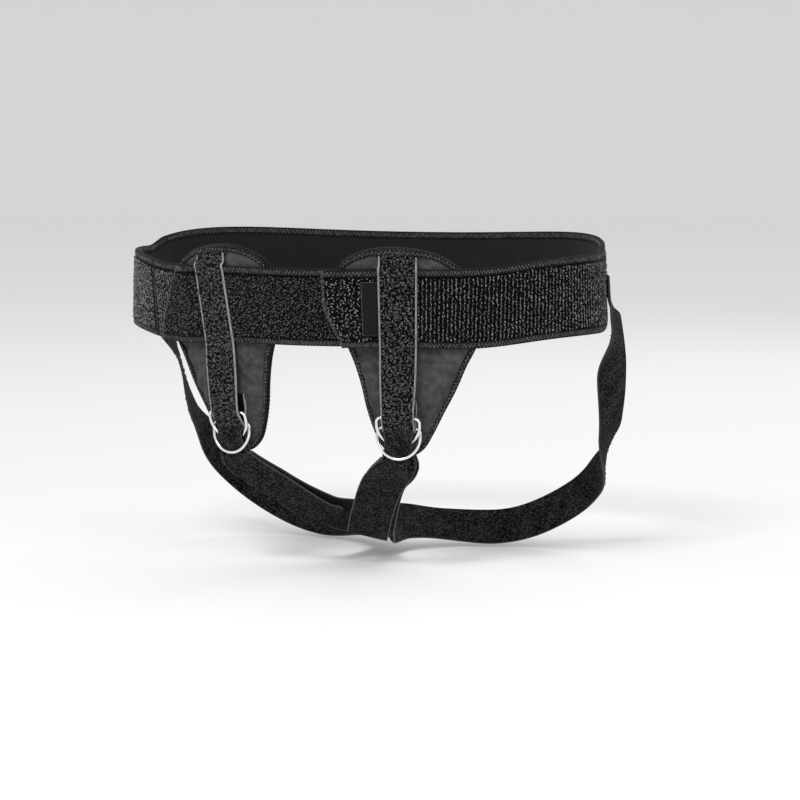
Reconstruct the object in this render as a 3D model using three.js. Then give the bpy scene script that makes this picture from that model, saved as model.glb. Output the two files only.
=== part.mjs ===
// Hernia belt: a padded waist band in two lengths, two groin pads with bound edges, two upright
// straps with double D-rings, and two leg straps that pass between the legs to the rear quarters.
// Millimetres. +X is the wearer's left, -Y is the front, +Z is up. The origin is the middle of the
// ring that the band makes, halfway up the band.

import * as THREE from "three";

// Form of the hips under the band: two half superellipses, one for the front and one for the back
const HIP_HALF_WIDTH = 190;
const FRONT_DEPTH = 129;
const BACK_DEPTH = 118;
const FRONT_EXPONENT = 1.85;
const BACK_EXPONENT = 2.2;

// Slant of the band's face and rise of its middle line round the hips
const FRONT_SLANT = 0.25;
const BACK_SLANT = -0.15;
const SIDE_SLANT = -0.047;
const SIDE_RISE = 8.7;
const BACK_DROP = 3;
const BACK_RISE = 20;
const PAD_PULL = 3.8;
const PAD_PULL_AT = 42;
const PAD_PULL_SPREAD = 16;

// Clearance between pieces that touch
const GAP = 0.3;

// Band and its edge tapes
const BAND_HEIGHT = 60;
const BAND_THICK = 3;
const TAPE_COVER = 5.2;
const TAPE_THICK = 0.7;
const BAND_STEP = 13;

// Band ends: where the front closure and the hip lap stop, measured along the band from the front
const CLOSURE_END = 17;
const CLOSURE_SLANT = 13;
const FRONT_BAND_TUCK = 78;
const LAP_END = -141;
const LAP_SLANT = 29;
const BACK_BAND_TUCK = -104;

// Pads
const PAD_INNER = 26.5;
const PAD_WIDTH = 108;
const PAD_TOP = 44.5;
const PAD_HEIGHT = 162;
const PAD_THICK = 9;
const PAD_RIM_THICK = 3.6;
const PAD_TAPE_COVER = 5;
const PAD_TAPE_THICK = 0.9;

// Upright straps over the pads
const STRAP_WIDTH = 28;
const STRAP_FOOT_WIDTH = 25;
const STRAP_THICK = 1.8;
const STRAP_TOP = 41;
const LEFT_STRAP = { top: 72, foot: 72 };
const RIGHT_STRAP = { top: -79, foot: -77.5 };
const STRAP_BACK_TOP = -70;

// D-rings
const RING_WIRE = 2.3;
const RING_INSIDE = STRAP_WIDTH + 2;
const RING_BAR_RISE = 6;
const RING_CORNER = 3.6;
const RING_LEVEL = -95;
const RING_CROSSING = -101;
const RING_CROSSING_OUT = 2.85;
const INNER_RING = { middle: -88.6, tilt: 0.14 };
const OUTER_RING = { middle: -98, tilt: -0.28 };

// Leg straps
const LEG_WIDTH = 32;
const LEG_THICK = 1.8;
const LEG_FOLD_TOP = -96.4;
const LEG_FOLD_WIDTH = 21;
const LEG_FALL = 198;
const LEG_SEAT = 285;

// Label
const LABEL_WIDTH = 11.6;
const LABEL_HEIGHT = 41;
const LABEL_THICK = 0.6;
const LABEL_MIDDLE = 0.5;

const clamp01 = (t) => Math.min(1, Math.max(0, t));
const smooth = (t) => clamp01(t) ** 2 * (3 - 2 * clamp01(t));
const lerp = (a, b, t) => a + (b - a) * t;
const vec = (x, y, z) => new THREE.Vector3(x, y, z);

// Point of the hip form at an angle from the front, with its outward normal in plan
function hipPlan(angle) {
  const c = Math.cos(angle);
  const s = Math.sin(angle);
  const n = c > 0 ? FRONT_EXPONENT : BACK_EXPONENT;
  const depth = c > 0 ? FRONT_DEPTH : BACK_DEPTH;
  const x = HIP_HALF_WIDTH * Math.sign(s) * Math.abs(s) ** (2 / n);
  const y = -depth * Math.sign(c) * Math.abs(c) ** (2 / n);
  const nx = (Math.sign(x) * Math.abs(x / HIP_HALF_WIDTH) ** (n - 1)) / HIP_HALF_WIDTH;
  const ny = (Math.sign(y) * Math.abs(y / depth) ** (n - 1)) / depth;
  const length = Math.hypot(nx, ny);
  return { x, y, nx: nx / length, ny: ny / length, c, s, angle };
}

// Length along the hip form against the angle, both ways round from the front
const GIRTH_STEPS = 1440;
const girth = [0];
for (let i = 1; i <= GIRTH_STEPS; i++) {
  const a = hipPlan((Math.PI * (i - 1)) / GIRTH_STEPS);
  const b = hipPlan((Math.PI * i) / GIRTH_STEPS);
  girth.push(girth[i - 1] + Math.hypot(b.x - a.x, b.y - a.y));
}
const HALF_GIRTH = girth[GIRTH_STEPS];

function angleAt(along) {
  const turns = Math.round(along / (2 * HALF_GIRTH));
  const rest = along - turns * 2 * HALF_GIRTH;
  const want = Math.abs(rest);
  let low = 0;
  let high = GIRTH_STEPS;
  while (high - low > 1) {
    const middle = (low + high) >> 1;
    if (girth[middle] > want) high = middle;
    else low = middle;
  }
  const share = (want - girth[low]) / (girth[low + 1] - girth[low]);
  return (Math.sign(rest) * Math.PI * (low + share)) / GIRTH_STEPS;
}

// Slanted frame of the hip form at a length along the band
function hipFrame(along) {
  const plan = hipPlan(angleAt(along));
  const { c, s } = plan;
  const slant = (c > 0 ? FRONT_SLANT : BACK_SLANT) * c * c + SIDE_SLANT * s * s;
  const q = Math.hypot(1, slant);
  const away = (Math.abs(plan.angle) * 180) / Math.PI - PAD_PULL_AT;
  const pull = PAD_PULL * Math.exp(-((away / PAD_PULL_SPREAD) ** 2));
  const behind = BACK_RISE * (1 - (1 + Math.min(c, 0)) ** 2) * smooth(-c / 0.2);
  const z = (-BACK_DROP * (1 - c)) / 2 + SIDE_RISE * s * s - pull + behind;
  return {
    base: vec(plan.x, plan.y, z),
    up: vec((plan.nx * slant) / q, (plan.ny * slant) / q, 1 / q),
    out: vec(plan.nx / q, plan.ny / q, -slant / q),
    side: vec(-plan.ny, plan.nx, 0),
  };
}

// Point at a length along the band, a height up its face and a distance out from its face
function onHip(along, height, out) {
  const f = hipFrame(along);
  return f.base.clone().addScaledVector(f.up, height).addScaledVector(f.out, out);
}

// Closed mesh from rows of points: each row is one closed outline, the first and last are capped
function skin(rows, closedLoop = false) {
  const count = rows[0].length;
  const positions = rows.flat().flatMap((p) => [p.x, p.y, p.z]);
  const index = [];
  const last = closedLoop ? rows.length : rows.length - 1;
  for (let r = 0; r < last; r++) {
    const next = (r + 1) % rows.length;
    for (let k = 0; k < count; k++) {
      const k2 = (k + 1) % count;
      const [a, b, c, d] = [r * count + k, r * count + k2, next * count + k2, next * count + k];
      index.push(a, b, c, a, c, d);
    }
  }
  if (!closedLoop) {
    const end = (rows.length - 1) * count;
    capOutline(rows[0]).forEach(([a, b, c]) => index.push(a, c, b));
    capOutline(rows[rows.length - 1]).forEach(([a, b, c]) => index.push(end + a, end + b, end + c));
  }
  return solid(positions, index);
}

// Triangles of a closed outline, cut in its own plane
function capOutline(row) {
  const middle = row.reduce((m, p) => m.add(p), vec(0, 0, 0)).divideScalar(row.length);
  const normal = vec(0, 0, 0);
  row.forEach((p, i) => {
    const a = p.clone().sub(middle);
    const b = row[(i + 1) % row.length].clone().sub(middle);
    normal.add(a.cross(b));
  });
  normal.normalize();
  const u = row[1].clone().sub(row[0]);
  u.addScaledVector(normal, -u.dot(normal)).normalize();
  const v = normal.clone().cross(u);
  const flat = row.map((p) => new THREE.Vector2(p.clone().sub(middle).dot(u), p.clone().sub(middle).dot(v)));
  return THREE.ShapeUtils.triangulateShape(flat, []);
}

// Geometry whose faces point outwards
function solid(positions, index) {
  let volume = 0;
  const at = (i) => vec(positions[3 * i], positions[3 * i + 1], positions[3 * i + 2]);
  for (let i = 0; i < index.length; i += 3) {
    volume += at(index[i]).dot(at(index[i + 1]).cross(at(index[i + 2])));
  }
  if (volume < 0) {
    for (let i = 0; i < index.length; i += 3) {
      [index[i + 1], index[i + 2]] = [index[i + 2], index[i + 1]];
    }
  }
  const geometry = new THREE.BufferGeometry();
  geometry.setAttribute("position", new THREE.Float32BufferAttribute(positions, 3));
  geometry.setIndex(index);
  geometry.computeVertexNormals();
  return geometry;
}

const belt = new THREE.Group();

function add(name, geometry, color, roughness, metalness = 0) {
  const mesh = new THREE.Mesh(geometry, new THREE.MeshStandardMaterial({ color, roughness, metalness }));
  mesh.name = name;
  belt.add(mesh);
}

const LOOP_PILE = 0x1b1b1c;
const TAPE_GREY = 0x2c2c2e;
const PAD_GREY = 0x3d3e40;
const STRAP_BLACK = 0x171718;
const LEG_BLACK = 0x242425;
const LABEL_BLACK = 0x0c0c0d;
const NICKEL = 0xd8d9dc;

// Band: two lengths that lap each other at the front closure and at the wearer's right hip.
// Each length lies in the face of the belt, and its lapping end is lifted over the other length.
const LIFT = BAND_THICK + GAP;
const closureLift = (along) => LIFT * clamp01((FRONT_BAND_TUCK + BAND_STEP - along) / BAND_STEP);
const lapLift = (along) => LIFT * clamp01((BACK_BAND_TUCK + BAND_STEP - along) / BAND_STEP);

// How far an end is cut back at a height: upright above the middle, slanted below it
const closureCut = (height) => CLOSURE_SLANT * clamp01((-2 * height) / BAND_HEIGHT);
const lapCut = (height) => LAP_SLANT * clamp01(0.5 + height / BAND_HEIGHT) ** 1.4;
const squareCut = () => 0;

// Stations on a common grid, with the first and last ones moved to the ends of the length
function stations(start, end) {
  const list = [start];
  const first = Math.ceil((start + BAND_STEP / 3) / BAND_STEP);
  for (let k = first; k * BAND_STEP < end - BAND_STEP / 3; k++) list.push(k * BAND_STEP);
  list.push(end);
  return list;
}

// Section of the band: thin margins inside the tapes, full thickness between them
function bandSection() {
  const edge = BAND_HEIGHT / 2 - TAPE_THICK - GAP;
  const seam = BAND_HEIGHT / 2 - TAPE_COVER - GAP;
  const face = [0, -BAND_THICK];
  const margin = [-TAPE_THICK - GAP, -BAND_THICK + TAPE_THICK + GAP];
  const heights = [
    [edge, margin],
    [seam, margin],
    [seam - 0.4, face],
    [0, face],
    [-seam + 0.4, face],
    [-seam, margin],
    [-edge, margin],
  ];
  const front = heights.map(([height, [outer]]) => ({ height, out: outer }));
  const back = heights.map(([height, [, inner]]) => ({ height, out: inner })).reverse();
  return [...front, ...back];
}

// Section of an edge tape: a channel folded over the band's margin, for the top or the bottom edge
function tapeSection(side) {
  const top = BAND_HEIGHT / 2;
  const foot = top - TAPE_COVER;
  const points = [
    [foot, 0],
    [top, 0],
    [top, -BAND_THICK],
    [foot, -BAND_THICK],
    [foot, -BAND_THICK + TAPE_THICK],
    [top - TAPE_THICK, -BAND_THICK + TAPE_THICK],
    [top - TAPE_THICK, -TAPE_THICK],
    [foot, -TAPE_THICK],
  ];
  return points.map(([height, out]) => ({ height: side * height, out }));
}

// A length of band or tape: its section at every station, its ends drawn in by the cuts
function bandLength({ start, end, startCut, endCut, lift }, section) {
  const along = stations(start, end);
  const fade = 2.6 * BAND_STEP;
  return skin(
    along.map((s) =>
      section.map(({ height, out }) => {
        const fromStart = startCut(height) * clamp01(1 - (s - start) / fade);
        const fromEnd = endCut(height) * clamp01(1 - (end - s) / fade);
        const place = s + fromStart - fromEnd;
        return onHip(place, height, out + lift(place));
      }),
    ),
  );
}

const bandLengths = {
  front_band: {
    start: LAP_END,
    end: FRONT_BAND_TUCK,
    startCut: lapCut,
    endCut: squareCut,
    lift: lapLift,
  },
  back_band: {
    start: CLOSURE_END,
    end: 2 * HALF_GIRTH + BACK_BAND_TUCK,
    startCut: closureCut,
    endCut: squareCut,
    lift: (along) => (along < HALF_GIRTH ? closureLift(along) : 0),
  },
};
for (const [name, length] of Object.entries(bandLengths)) {
  add(name, bandLength(length, bandSection()), LOOP_PILE, 0.95);
  add(`${name}_top_tape`, bandLength(length, tapeSection(1)), TAPE_GREY, 0.9);
  add(`${name}_bottom_tape`, bandLength(length, tapeSection(-1)), TAPE_GREY, 0.9);
}

// Pad outline: height as a share of the pad's height from its top, the inner and outer edges as
// shares of its width from the edge nearest the front
const PAD_OUTLINE = [
  { drop: 0.0, inner: 0.3, outer: 0.47 },
  { drop: 0.025, inner: 0.14, outer: 0.68 },
  { drop: 0.085, inner: 0.012, outer: 0.84 },
  { drop: 0.17, inner: 0.0, outer: 0.965 },
  { drop: 0.3, inner: 0.0, outer: 1.0 },
  { drop: 0.43, inner: 0.03, outer: 0.995 },
  { drop: 0.55, inner: 0.095, outer: 0.91 },
  { drop: 0.66, inner: 0.14, outer: 0.84 },
  { drop: 0.77, inner: 0.175, outer: 0.755 },
  { drop: 0.87, inner: 0.225, outer: 0.68 },
  { drop: 0.945, inner: 0.285, outer: 0.61 },
  { drop: 0.99, inner: 0.385, outer: 0.5 },
];
const PAD_POINTS = 48;
const PAD_CENTRE = { along: 0.46, drop: 0.4 };
const PAD_FRONT = -BAND_THICK - GAP;
const PAD_MIDDLE = PAD_FRONT - PAD_THICK / 2;
const PAD_RIM_MIDDLE = PAD_FRONT - 2 * GAP - PAD_TAPE_THICK - PAD_RIM_THICK / 2;

// Points round the pad's edge, in shares, on one smooth closed curve
function padEdge() {
  const inner = PAD_OUTLINE.map(({ drop, inner: share }) => vec(share * PAD_WIDTH, -drop * PAD_HEIGHT, 0));
  const outer = PAD_OUTLINE.map(({ drop, outer: share }) => vec(share * PAD_WIDTH, -drop * PAD_HEIGHT, 0));
  const curve = new THREE.CatmullRomCurve3([...inner, ...outer.reverse()], true, "centripetal");
  return curve.getSpacedPoints(PAD_POINTS).slice(0, PAD_POINTS);
}

// Point of a pad drawn in from its edge by a distance towards the pad's centre
function padPoint(edge, inset, out, side) {
  const centre = vec(PAD_CENTRE.along * PAD_WIDTH, -PAD_CENTRE.drop * PAD_HEIGHT, 0);
  const reach = centre.distanceTo(edge);
  const p = edge.clone().lerp(centre, Math.min(1, inset / reach));
  return onHip(side * (PAD_INNER + p.x), PAD_TOP + p.y, out);
}

// Pad: a thin margin inside the binding, then foam that swells to the full thickness
function padGeometry(side) {
  const edges = padEdge();
  const rim = PAD_TAPE_THICK + GAP;
  const margin = PAD_TAPE_COVER + GAP;
  const insets = [
    { inset: rim, swell: 0 },
    { inset: margin, swell: 0 },
    { inset: margin + 2, swell: 0.62 },
    { inset: margin + 6, swell: 0.92 },
    { inset: margin + 13, swell: 1 },
  ];
  const ring = ({ inset, swell }, face) => {
    const thin = PAD_RIM_MIDDLE + (face * PAD_RIM_THICK) / 2;
    const full = PAD_MIDDLE + (face * PAD_THICK) / 2;
    return edges.map((e) => padPoint(e, inset, lerp(thin, full, swell), side));
  };
  const front = insets.map((row) => ring(row, 1)).reverse();
  const back = insets.map((row) => ring(row, -1));
  return skin([...front, ...back]);
}

// Binding: a channel folded over the pad's margin all the way round
function padTapeGeometry(side) {
  const outer = PAD_RIM_THICK / 2 + GAP + PAD_TAPE_THICK;
  const inner = PAD_RIM_THICK / 2 + GAP;
  const section = [
    [PAD_TAPE_COVER, outer],
    [0.4, outer],
    [0, outer - 0.5],
    [0, -outer + 0.5],
    [0.4, -outer],
    [PAD_TAPE_COVER, -outer],
    [PAD_TAPE_COVER, -inner],
    [PAD_TAPE_THICK, -inner],
    [PAD_TAPE_THICK, inner],
    [PAD_TAPE_COVER, inner],
  ];
  const rows = padEdge().map((e) => section.map(([inset, out]) => padPoint(e, inset, PAD_RIM_MIDDLE + out, side)));
  return skin(rows, true);
}

for (const [name, side] of [["left", 1], ["right", -1]]) {
  add(`pad_${name}`, padGeometry(side), PAD_GREY, 0.85);
  add(`pad_binding_${name}`, padTapeGeometry(side), TAPE_GREY, 0.9);
}

// Flat frame at the foot of an upright strap, where the rings hang: across, up and out. It touches
// the hip form at the level of the rings.
function ringFrame(along) {
  const origin = onHip(along, RING_LEVEL, 0);
  const { up } = hipFrame(along);
  const side = onHip(along + 1, RING_LEVEL, 0).sub(onHip(along - 1, RING_LEVEL, 0));
  side.addScaledVector(up, -side.dot(up)).normalize();
  const out = side.clone().cross(up);
  const at = (across, height, away) =>
    origin
      .clone()
      .addScaledVector(side, across)
      .addScaledVector(up, height - RING_LEVEL)
      .addScaledVector(out, away);
  return { at, up, out };
}

// Ring planes: how far out a ring's wire is at a height
const ringOut = (ring, height) => RING_CROSSING_OUT + ring.tilt * (height - RING_CROSSING);
const ringBar = (ring) => ring.middle + RING_BAR_RISE;

// D-ring: a straight bar with round corners above a half circle, bent from round wire
function ringGeometry(ring, frame) {
  const radius = (RING_INSIDE + RING_WIRE) / 2;
  const path = [];
  for (let i = 0; i <= 14; i++) {
    const angle = Math.PI + (Math.PI * i) / 14;
    path.push([radius * Math.cos(angle), radius * Math.sin(angle)]);
  }
  for (const side of [1, -1]) {
    for (let i = 1; i <= 4; i++) {
      const angle = (Math.PI / 2) * (side > 0 ? (i - 1) / 3 : 1 + (i - 1) / 3);
      const x = side * (radius - RING_CORNER) + RING_CORNER * Math.cos(angle);
      path.push([x, RING_BAR_RISE - RING_CORNER + RING_CORNER * Math.sin(angle)]);
    }
  }
  const points = path.map(([across, up]) => {
    const height = ring.middle + up;
    return frame.at(across, height, ringOut(ring, height));
  });
  return wireLoop(points, RING_WIRE / 2, 6);
}

// Round wire along a flat closed path
function wireLoop(points, radius, sides) {
  const middle = points.reduce((m, p) => m.add(p), vec(0, 0, 0)).divideScalar(points.length);
  const normal = points[0].clone().sub(middle).cross(points[5].clone().sub(middle)).normalize();
  const rows = points.map((p, i) => {
    const before = points[(i + points.length - 1) % points.length];
    const after = points[(i + 1) % points.length];
    const run = after.clone().sub(before).normalize();
    const across = run.clone().cross(normal).normalize();
    return Array.from({ length: sides }, (_, k) => {
      const angle = (2 * Math.PI * (k + 0.5)) / sides;
      const reach = radius / Math.cos(Math.PI / sides / 2);
      return p
        .clone()
        .addScaledVector(across, reach * Math.cos(angle))
        .addScaledVector(normal, reach * Math.sin(angle));
    });
  });
  return skin(rows, true);
}

// Upright strap: over the band's face, down to the bars, round both bars and up behind itself.
// Each row is a place on the middle of the strap's thickness, with its shares of the flat ring
// frame and of the band's lift.
function strapRows() {
  const half = STRAP_THICK / 2;
  const pad = PAD_FRONT + GAP + half;
  const band = GAP + half;
  const wrap = RING_WIRE / 2 + GAP + half;
  const [upper, lower] = [INNER_RING, OUTER_RING].map((ring) => ({
    height: ringBar(ring),
    out: ringOut(ring, ringBar(ring)),
  }));
  const lean = Math.atan2(upper.out - lower.out, upper.height - lower.height);
  const front = upper.out + wrap;
  const edge = BAND_HEIGHT / 2;
  const rows = [
    { height: STRAP_TOP, out: pad, flat: 0, lift: 0 },
    { height: edge + 6, out: pad, flat: 0, lift: 0 },
    { height: edge + 2.6, out: lerp(pad, band, 0.3), flat: 0, lift: 0.25 },
    { height: edge + 1, out: band + 0.3, flat: 0, lift: 1 },
    { height: edge - 3, out: band, flat: 0, lift: 1 },
    { height: edge / 3, out: band, flat: 0, lift: 1 },
    { height: -edge / 3, out: band, flat: 0, lift: 1 },
    { height: 3 - edge, out: band, flat: 0, lift: 1 },
    { height: -edge - 2, out: band + 0.4, flat: 0.1, lift: 0.9 },
    { height: -edge - 18, out: lerp(band, front, 0.4), flat: 0.45, lift: 0.5 },
    { height: -edge - 34, out: lerp(band, front, 0.75), flat: 0.8, lift: 0.2 },
    { height: upper.height + 7, out: front - 0.2, flat: 1, lift: 0 },
  ];
  const arc = (bar, from, to, steps) => {
    for (let i = 0; i <= steps; i++) {
      const angle = lerp(from, to, i / steps);
      rows.push({
        height: bar.height + wrap * Math.sin(angle),
        out: bar.out + wrap * Math.cos(angle),
        flat: 1,
        lift: 0,
      });
    }
  };
  arc(upper, 0, -lean, 1);
  arc(lower, -lean, -Math.PI, 5);
  rows.push({ height: lower.height + 8, out: lower.out - wrap, flat: 1, lift: 0 });
  rows.push({ height: lerp(lower.height, STRAP_BACK_TOP, 0.6), out: pad + 0.2, flat: 0.5, lift: 0 });
  rows.push({ height: STRAP_BACK_TOP, out: pad, flat: 0, lift: 0 });
  return rows;
}

// Strap of even thickness through its rows, its width split in four so that it bends with the hip
function strapGeometry({ top, foot }, lift) {
  const rows = strapRows();
  const frame = ringFrame(foot);
  const normals = rows.map((row, i) => {
    const before = rows[Math.max(0, i - 1)];
    const after = rows[Math.min(rows.length - 1, i + 1)];
    const run = new THREE.Vector2(after.out - before.out, after.height - before.height).normalize();
    return { out: -run.y, height: run.x };
  });
  const middleAt = (height) => lerp(top, foot, clamp01((STRAP_TOP - height) / (STRAP_TOP + BAND_HEIGHT)));
  const shares = [-0.5, -0.25, 0, 0.25, 0.5];
  return skin(
    rows.map((row, i) => {
      const point = (share, face) => {
        const across = share * lerp(STRAP_WIDTH, STRAP_FOOT_WIDTH, row.flat ** 3);
        const along = middleAt(row.height) + across;
        const height = row.height + (face * normals[i].height * STRAP_THICK) / 2;
        const out = row.out + row.lift * lift(along) + (face * normals[i].out * STRAP_THICK) / 2;
        return onHip(along, height, out).lerp(frame.at(across, height, out), row.flat);
      };
      return [
        ...shares.map((share) => point(share, 1)),
        ...[...shares].reverse().map((share) => point(share, -1)),
      ];
    }),
  );
}

// Leg strap route from its seat on the band to the ring: places as shares of the hip form's half
// width, back depth and the fall to the crotch, and the way that its face looks
const LEG_ROUTES = {
  left: {
    load: [
      { across: 0.232, depth: -0.62, fall: 0.676, face: [0.05, -0.78, -0.62] },
      { across: 0.15, depth: -0.41, fall: 0.795, face: [0, -0.72, -0.69] },
      { across: 0.078, depth: -0.12, fall: 0.885, face: [-0.35, -0.5, -0.75] },
      { across: 0.05, depth: 0.2, fall: 0.912, face: [-0.9, -0.05, -0.42] },
    ],
    free: [
      { across: 0.075, depth: -0.285, fall: 0.917, face: [0.05, -0.68, -0.7] },
      { across: 0.137, depth: -0.46, fall: 0.818, face: [0.05, -0.75, -0.65] },
      { across: 0.222, depth: -0.645, fall: 0.692, face: [0.08, -0.8, -0.6] },
    ],
  },
  right: {
    load: [
      { across: 0.215, depth: -0.635, fall: 0.7, face: [0.1, -0.8, -0.6] },
      { across: 0.11, depth: -0.41, fall: 0.787, face: [0, -0.85, -0.55] },
      { across: 0.045, depth: -0.13, fall: 0.85, face: [-0.5, -0.72, -0.45] },
      { across: 0.05, depth: 0.2, fall: 0.87, face: [-0.9, -0.05, -0.42] },
    ],
    free: [
      { across: 0.052, depth: -0.33, fall: 0.86, face: [-0.15, -0.85, -0.5] },
      { across: 0.115, depth: -0.47, fall: 0.81, face: [0.05, -0.85, -0.55] },
      { across: 0.2, depth: -0.64, fall: 0.725, face: [0.1, -0.8, -0.6] },
    ],
  },
};
const LEG_BACK = [
  { across: 0.06, depth: 0.47, fall: 0.915, face: [-0.8, 0.25, -0.55] },
  { across: 0.19, depth: 0.76, fall: 0.945, face: [-0.3, 0.65, -0.7] },
  { across: 0.4, depth: 0.9, fall: 0.955, face: [0, 0.8, -0.6] },
  { across: 0.62, depth: 0.93, fall: 0.885, face: [0.25, 0.85, -0.45] },
  { across: 0.82, depth: 0.86, fall: 0.74, face: [0.55, 0.78, -0.25] },
  { across: 0.935, depth: 0.6, fall: 0.52, face: [0.93, -0.3, -0.05] },
  { across: 0.965, depth: 0.46, fall: 0.29, face: [0.87, -0.48, 0] },
];

function routePoint({ across, depth, fall, face }, side) {
  return {
    p: vec(side * across * HIP_HALF_WIDTH, depth * BACK_DEPTH, -fall * LEG_FALL),
    n: vec(side * face[0], face[1], face[2]),
    width: LEG_WIDTH,
  };
}

// Rows of the leg strap where it folds over the inner ring's arc, in the flat ring frame
function foldRows(frame) {
  const half = LEG_THICK / 2;
  const wrap = RING_WIRE / 2 + GAP + half;
  const centre = LEG_FOLD_TOP - wrap - half;
  const row = (height, away, face, width) => ({
    p: frame.at(0, height, away),
    n: frame.out.clone().multiplyScalar(face[0]).addScaledVector(frame.up, face[1]),
    width,
  });
  const plane = (height) => ringOut(INNER_RING, height);
  const innerArc = INNER_RING.middle - (RING_INSIDE + RING_WIRE) / 2;
  const rows = [
    row(innerArc - 14, 2.4, [1, -0.12], LEG_WIDTH * 0.84),
    row(innerArc - 9, 2.2, [1, 0], LEG_WIDTH * 0.74),
    row(innerArc - 4.2, plane(innerArc) + wrap - 1.6, [1, 0.3], LEG_FOLD_WIDTH),
    row(innerArc - 0.4, plane(innerArc) + wrap + 0.1, [1, 0.2], LEG_FOLD_WIDTH),
  ];
  for (let i = 0; i <= 6; i++) {
    const angle = (Math.PI * i) / 6;
    const height = centre + wrap * Math.sin(angle);
    rows.push(row(height, plane(centre) + wrap * Math.cos(angle), [Math.cos(angle), Math.sin(angle)], LEG_FOLD_WIDTH));
  }
  rows.push(row(innerArc, plane(innerArc) - wrap - 0.05, [-1, 0], LEG_FOLD_WIDTH));
  rows.push(row(innerArc - 8, plane(innerArc) - wrap - 0.3, [-1, 0], LEG_WIDTH * 0.8));
  rows.push(row(innerArc - 15, plane(innerArc) - wrap - 0.5, [-1, 0.1], LEG_WIDTH * 0.95));
  return rows;
}

// Rows on the band's face, where the strap is sewn on with its end upward. Below the seam the
// strap turns towards the front.
function seatRows(side) {
  const half = LEG_THICK / 2;
  const rows = [
    { height: -32, out: GAP + half + 5, turn: 0.3 },
    { height: -17, out: GAP + half + 1.2, turn: 0.06 },
    { height: -8, out: GAP + half, turn: 0 },
    { height: 4, out: GAP + half, turn: 0 },
  ];
  const frame = hipFrame(side * LEG_SEAT);
  return rows.map(({ height, out, turn }) => ({
    p: frame.base.clone().addScaledVector(frame.up, height).addScaledVector(frame.out, out),
    n: frame.out.clone().addScaledVector(frame.side, -side * turn),
    width: LEG_WIDTH,
  }));
}

// Ribbon through rows of places: the face turns with the rows, the width lies square to the run
function ribbon(rows, thick, finest) {
  const places = new THREE.CatmullRomCurve3(rows.map((row) => row.p), false, "centripetal");
  const outline = [];
  rows.forEach((row, i) => {
    if (i === rows.length - 1) {
      outline.push([i, 0]);
      return;
    }
    const pieces = Math.max(1, Math.round(row.p.distanceTo(rows[i + 1].p) / finest));
    for (let k = 0; k < pieces; k++) outline.push([i, k / pieces]);
  });
  const sections = outline.map(([i, t]) => {
    const u = (i + t) / (rows.length - 1);
    const next = rows[Math.min(i + 1, rows.length - 1)];
    const p = places.getPoint(u);
    const run = places.getTangent(Math.min(Math.max(u, 1e-3), 1 - 1e-3));
    const n = rows[i].n.clone().lerp(next.n, smooth(t));
    n.addScaledVector(run, -n.dot(run)).normalize();
    const across = n.clone().cross(run).multiplyScalar(lerp(rows[i].width, next.width, smooth(t)) / 2);
    n.multiplyScalar(thick / 2);
    return [
      p.clone().add(across).add(n),
      p.clone().sub(across).add(n),
      p.clone().sub(across).sub(n),
      p.clone().add(across).sub(n),
    ];
  });
  return skin(sections);
}

for (const [name, side, strap, lift] of [
  ["left", 1, LEFT_STRAP, () => LIFT],
  ["right", -1, RIGHT_STRAP, lapLift],
]) {
  const frame = ringFrame(strap.foot);
  add(`upright_strap_${name}`, strapGeometry(strap, lift), STRAP_BLACK, 0.95);
  add(`inner_ring_${name}`, ringGeometry(INNER_RING, frame), NICKEL, 0.2, 1);
  add(`outer_ring_${name}`, ringGeometry(OUTER_RING, frame), NICKEL, 0.2, 1);
  const route = LEG_ROUTES[name];
  const free = route.free.map((row) => routePoint(row, side));
  const load = [...route.load, ...LEG_BACK].map((row) => routePoint(row, side));
  load.forEach((row) => row.n.negate());
  const seat = seatRows(side).map((row) => ({ ...row, n: row.n.negate() }));
  add(`leg_strap_${name}`, ribbon([...free, ...foldRows(frame), ...load, ...seat], LEG_THICK, 11), LEG_BLACK, 0.9);
}

// Label beside the left upright strap, sewn on the lifted closure end
function labelGeometry() {
  const end = LEFT_STRAP.top - STRAP_WIDTH / 2 - 2 * GAP;
  const base = LIFT + GAP;
  const rows = [0, 0.5, 1].map((share) => {
    const along = end - LABEL_WIDTH + share * LABEL_WIDTH;
    const height = LABEL_HEIGHT / 2;
    return [
      onHip(along, LABEL_MIDDLE + height, base + LABEL_THICK),
      onHip(along, LABEL_MIDDLE - height, base + LABEL_THICK),
      onHip(along, LABEL_MIDDLE - height, base),
      onHip(along, LABEL_MIDDLE + height, base),
    ];
  });
  return skin(rows);
}
add("side_label", labelGeometry(), LABEL_BLACK, 0.7);

export default belt;
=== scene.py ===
"""Hernia belt in its worn form: looped pile bands, bound groin pads, upright straps with double
D-rings, and leg straps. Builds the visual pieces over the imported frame. Sizes are in millimetres
until a mesh is written, and the scene is in metres."""

from __future__ import annotations

import logging
import math
from dataclasses import dataclass, field
from enum import Enum
from functools import cache
from typing import Any, Callable, Sequence

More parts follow.
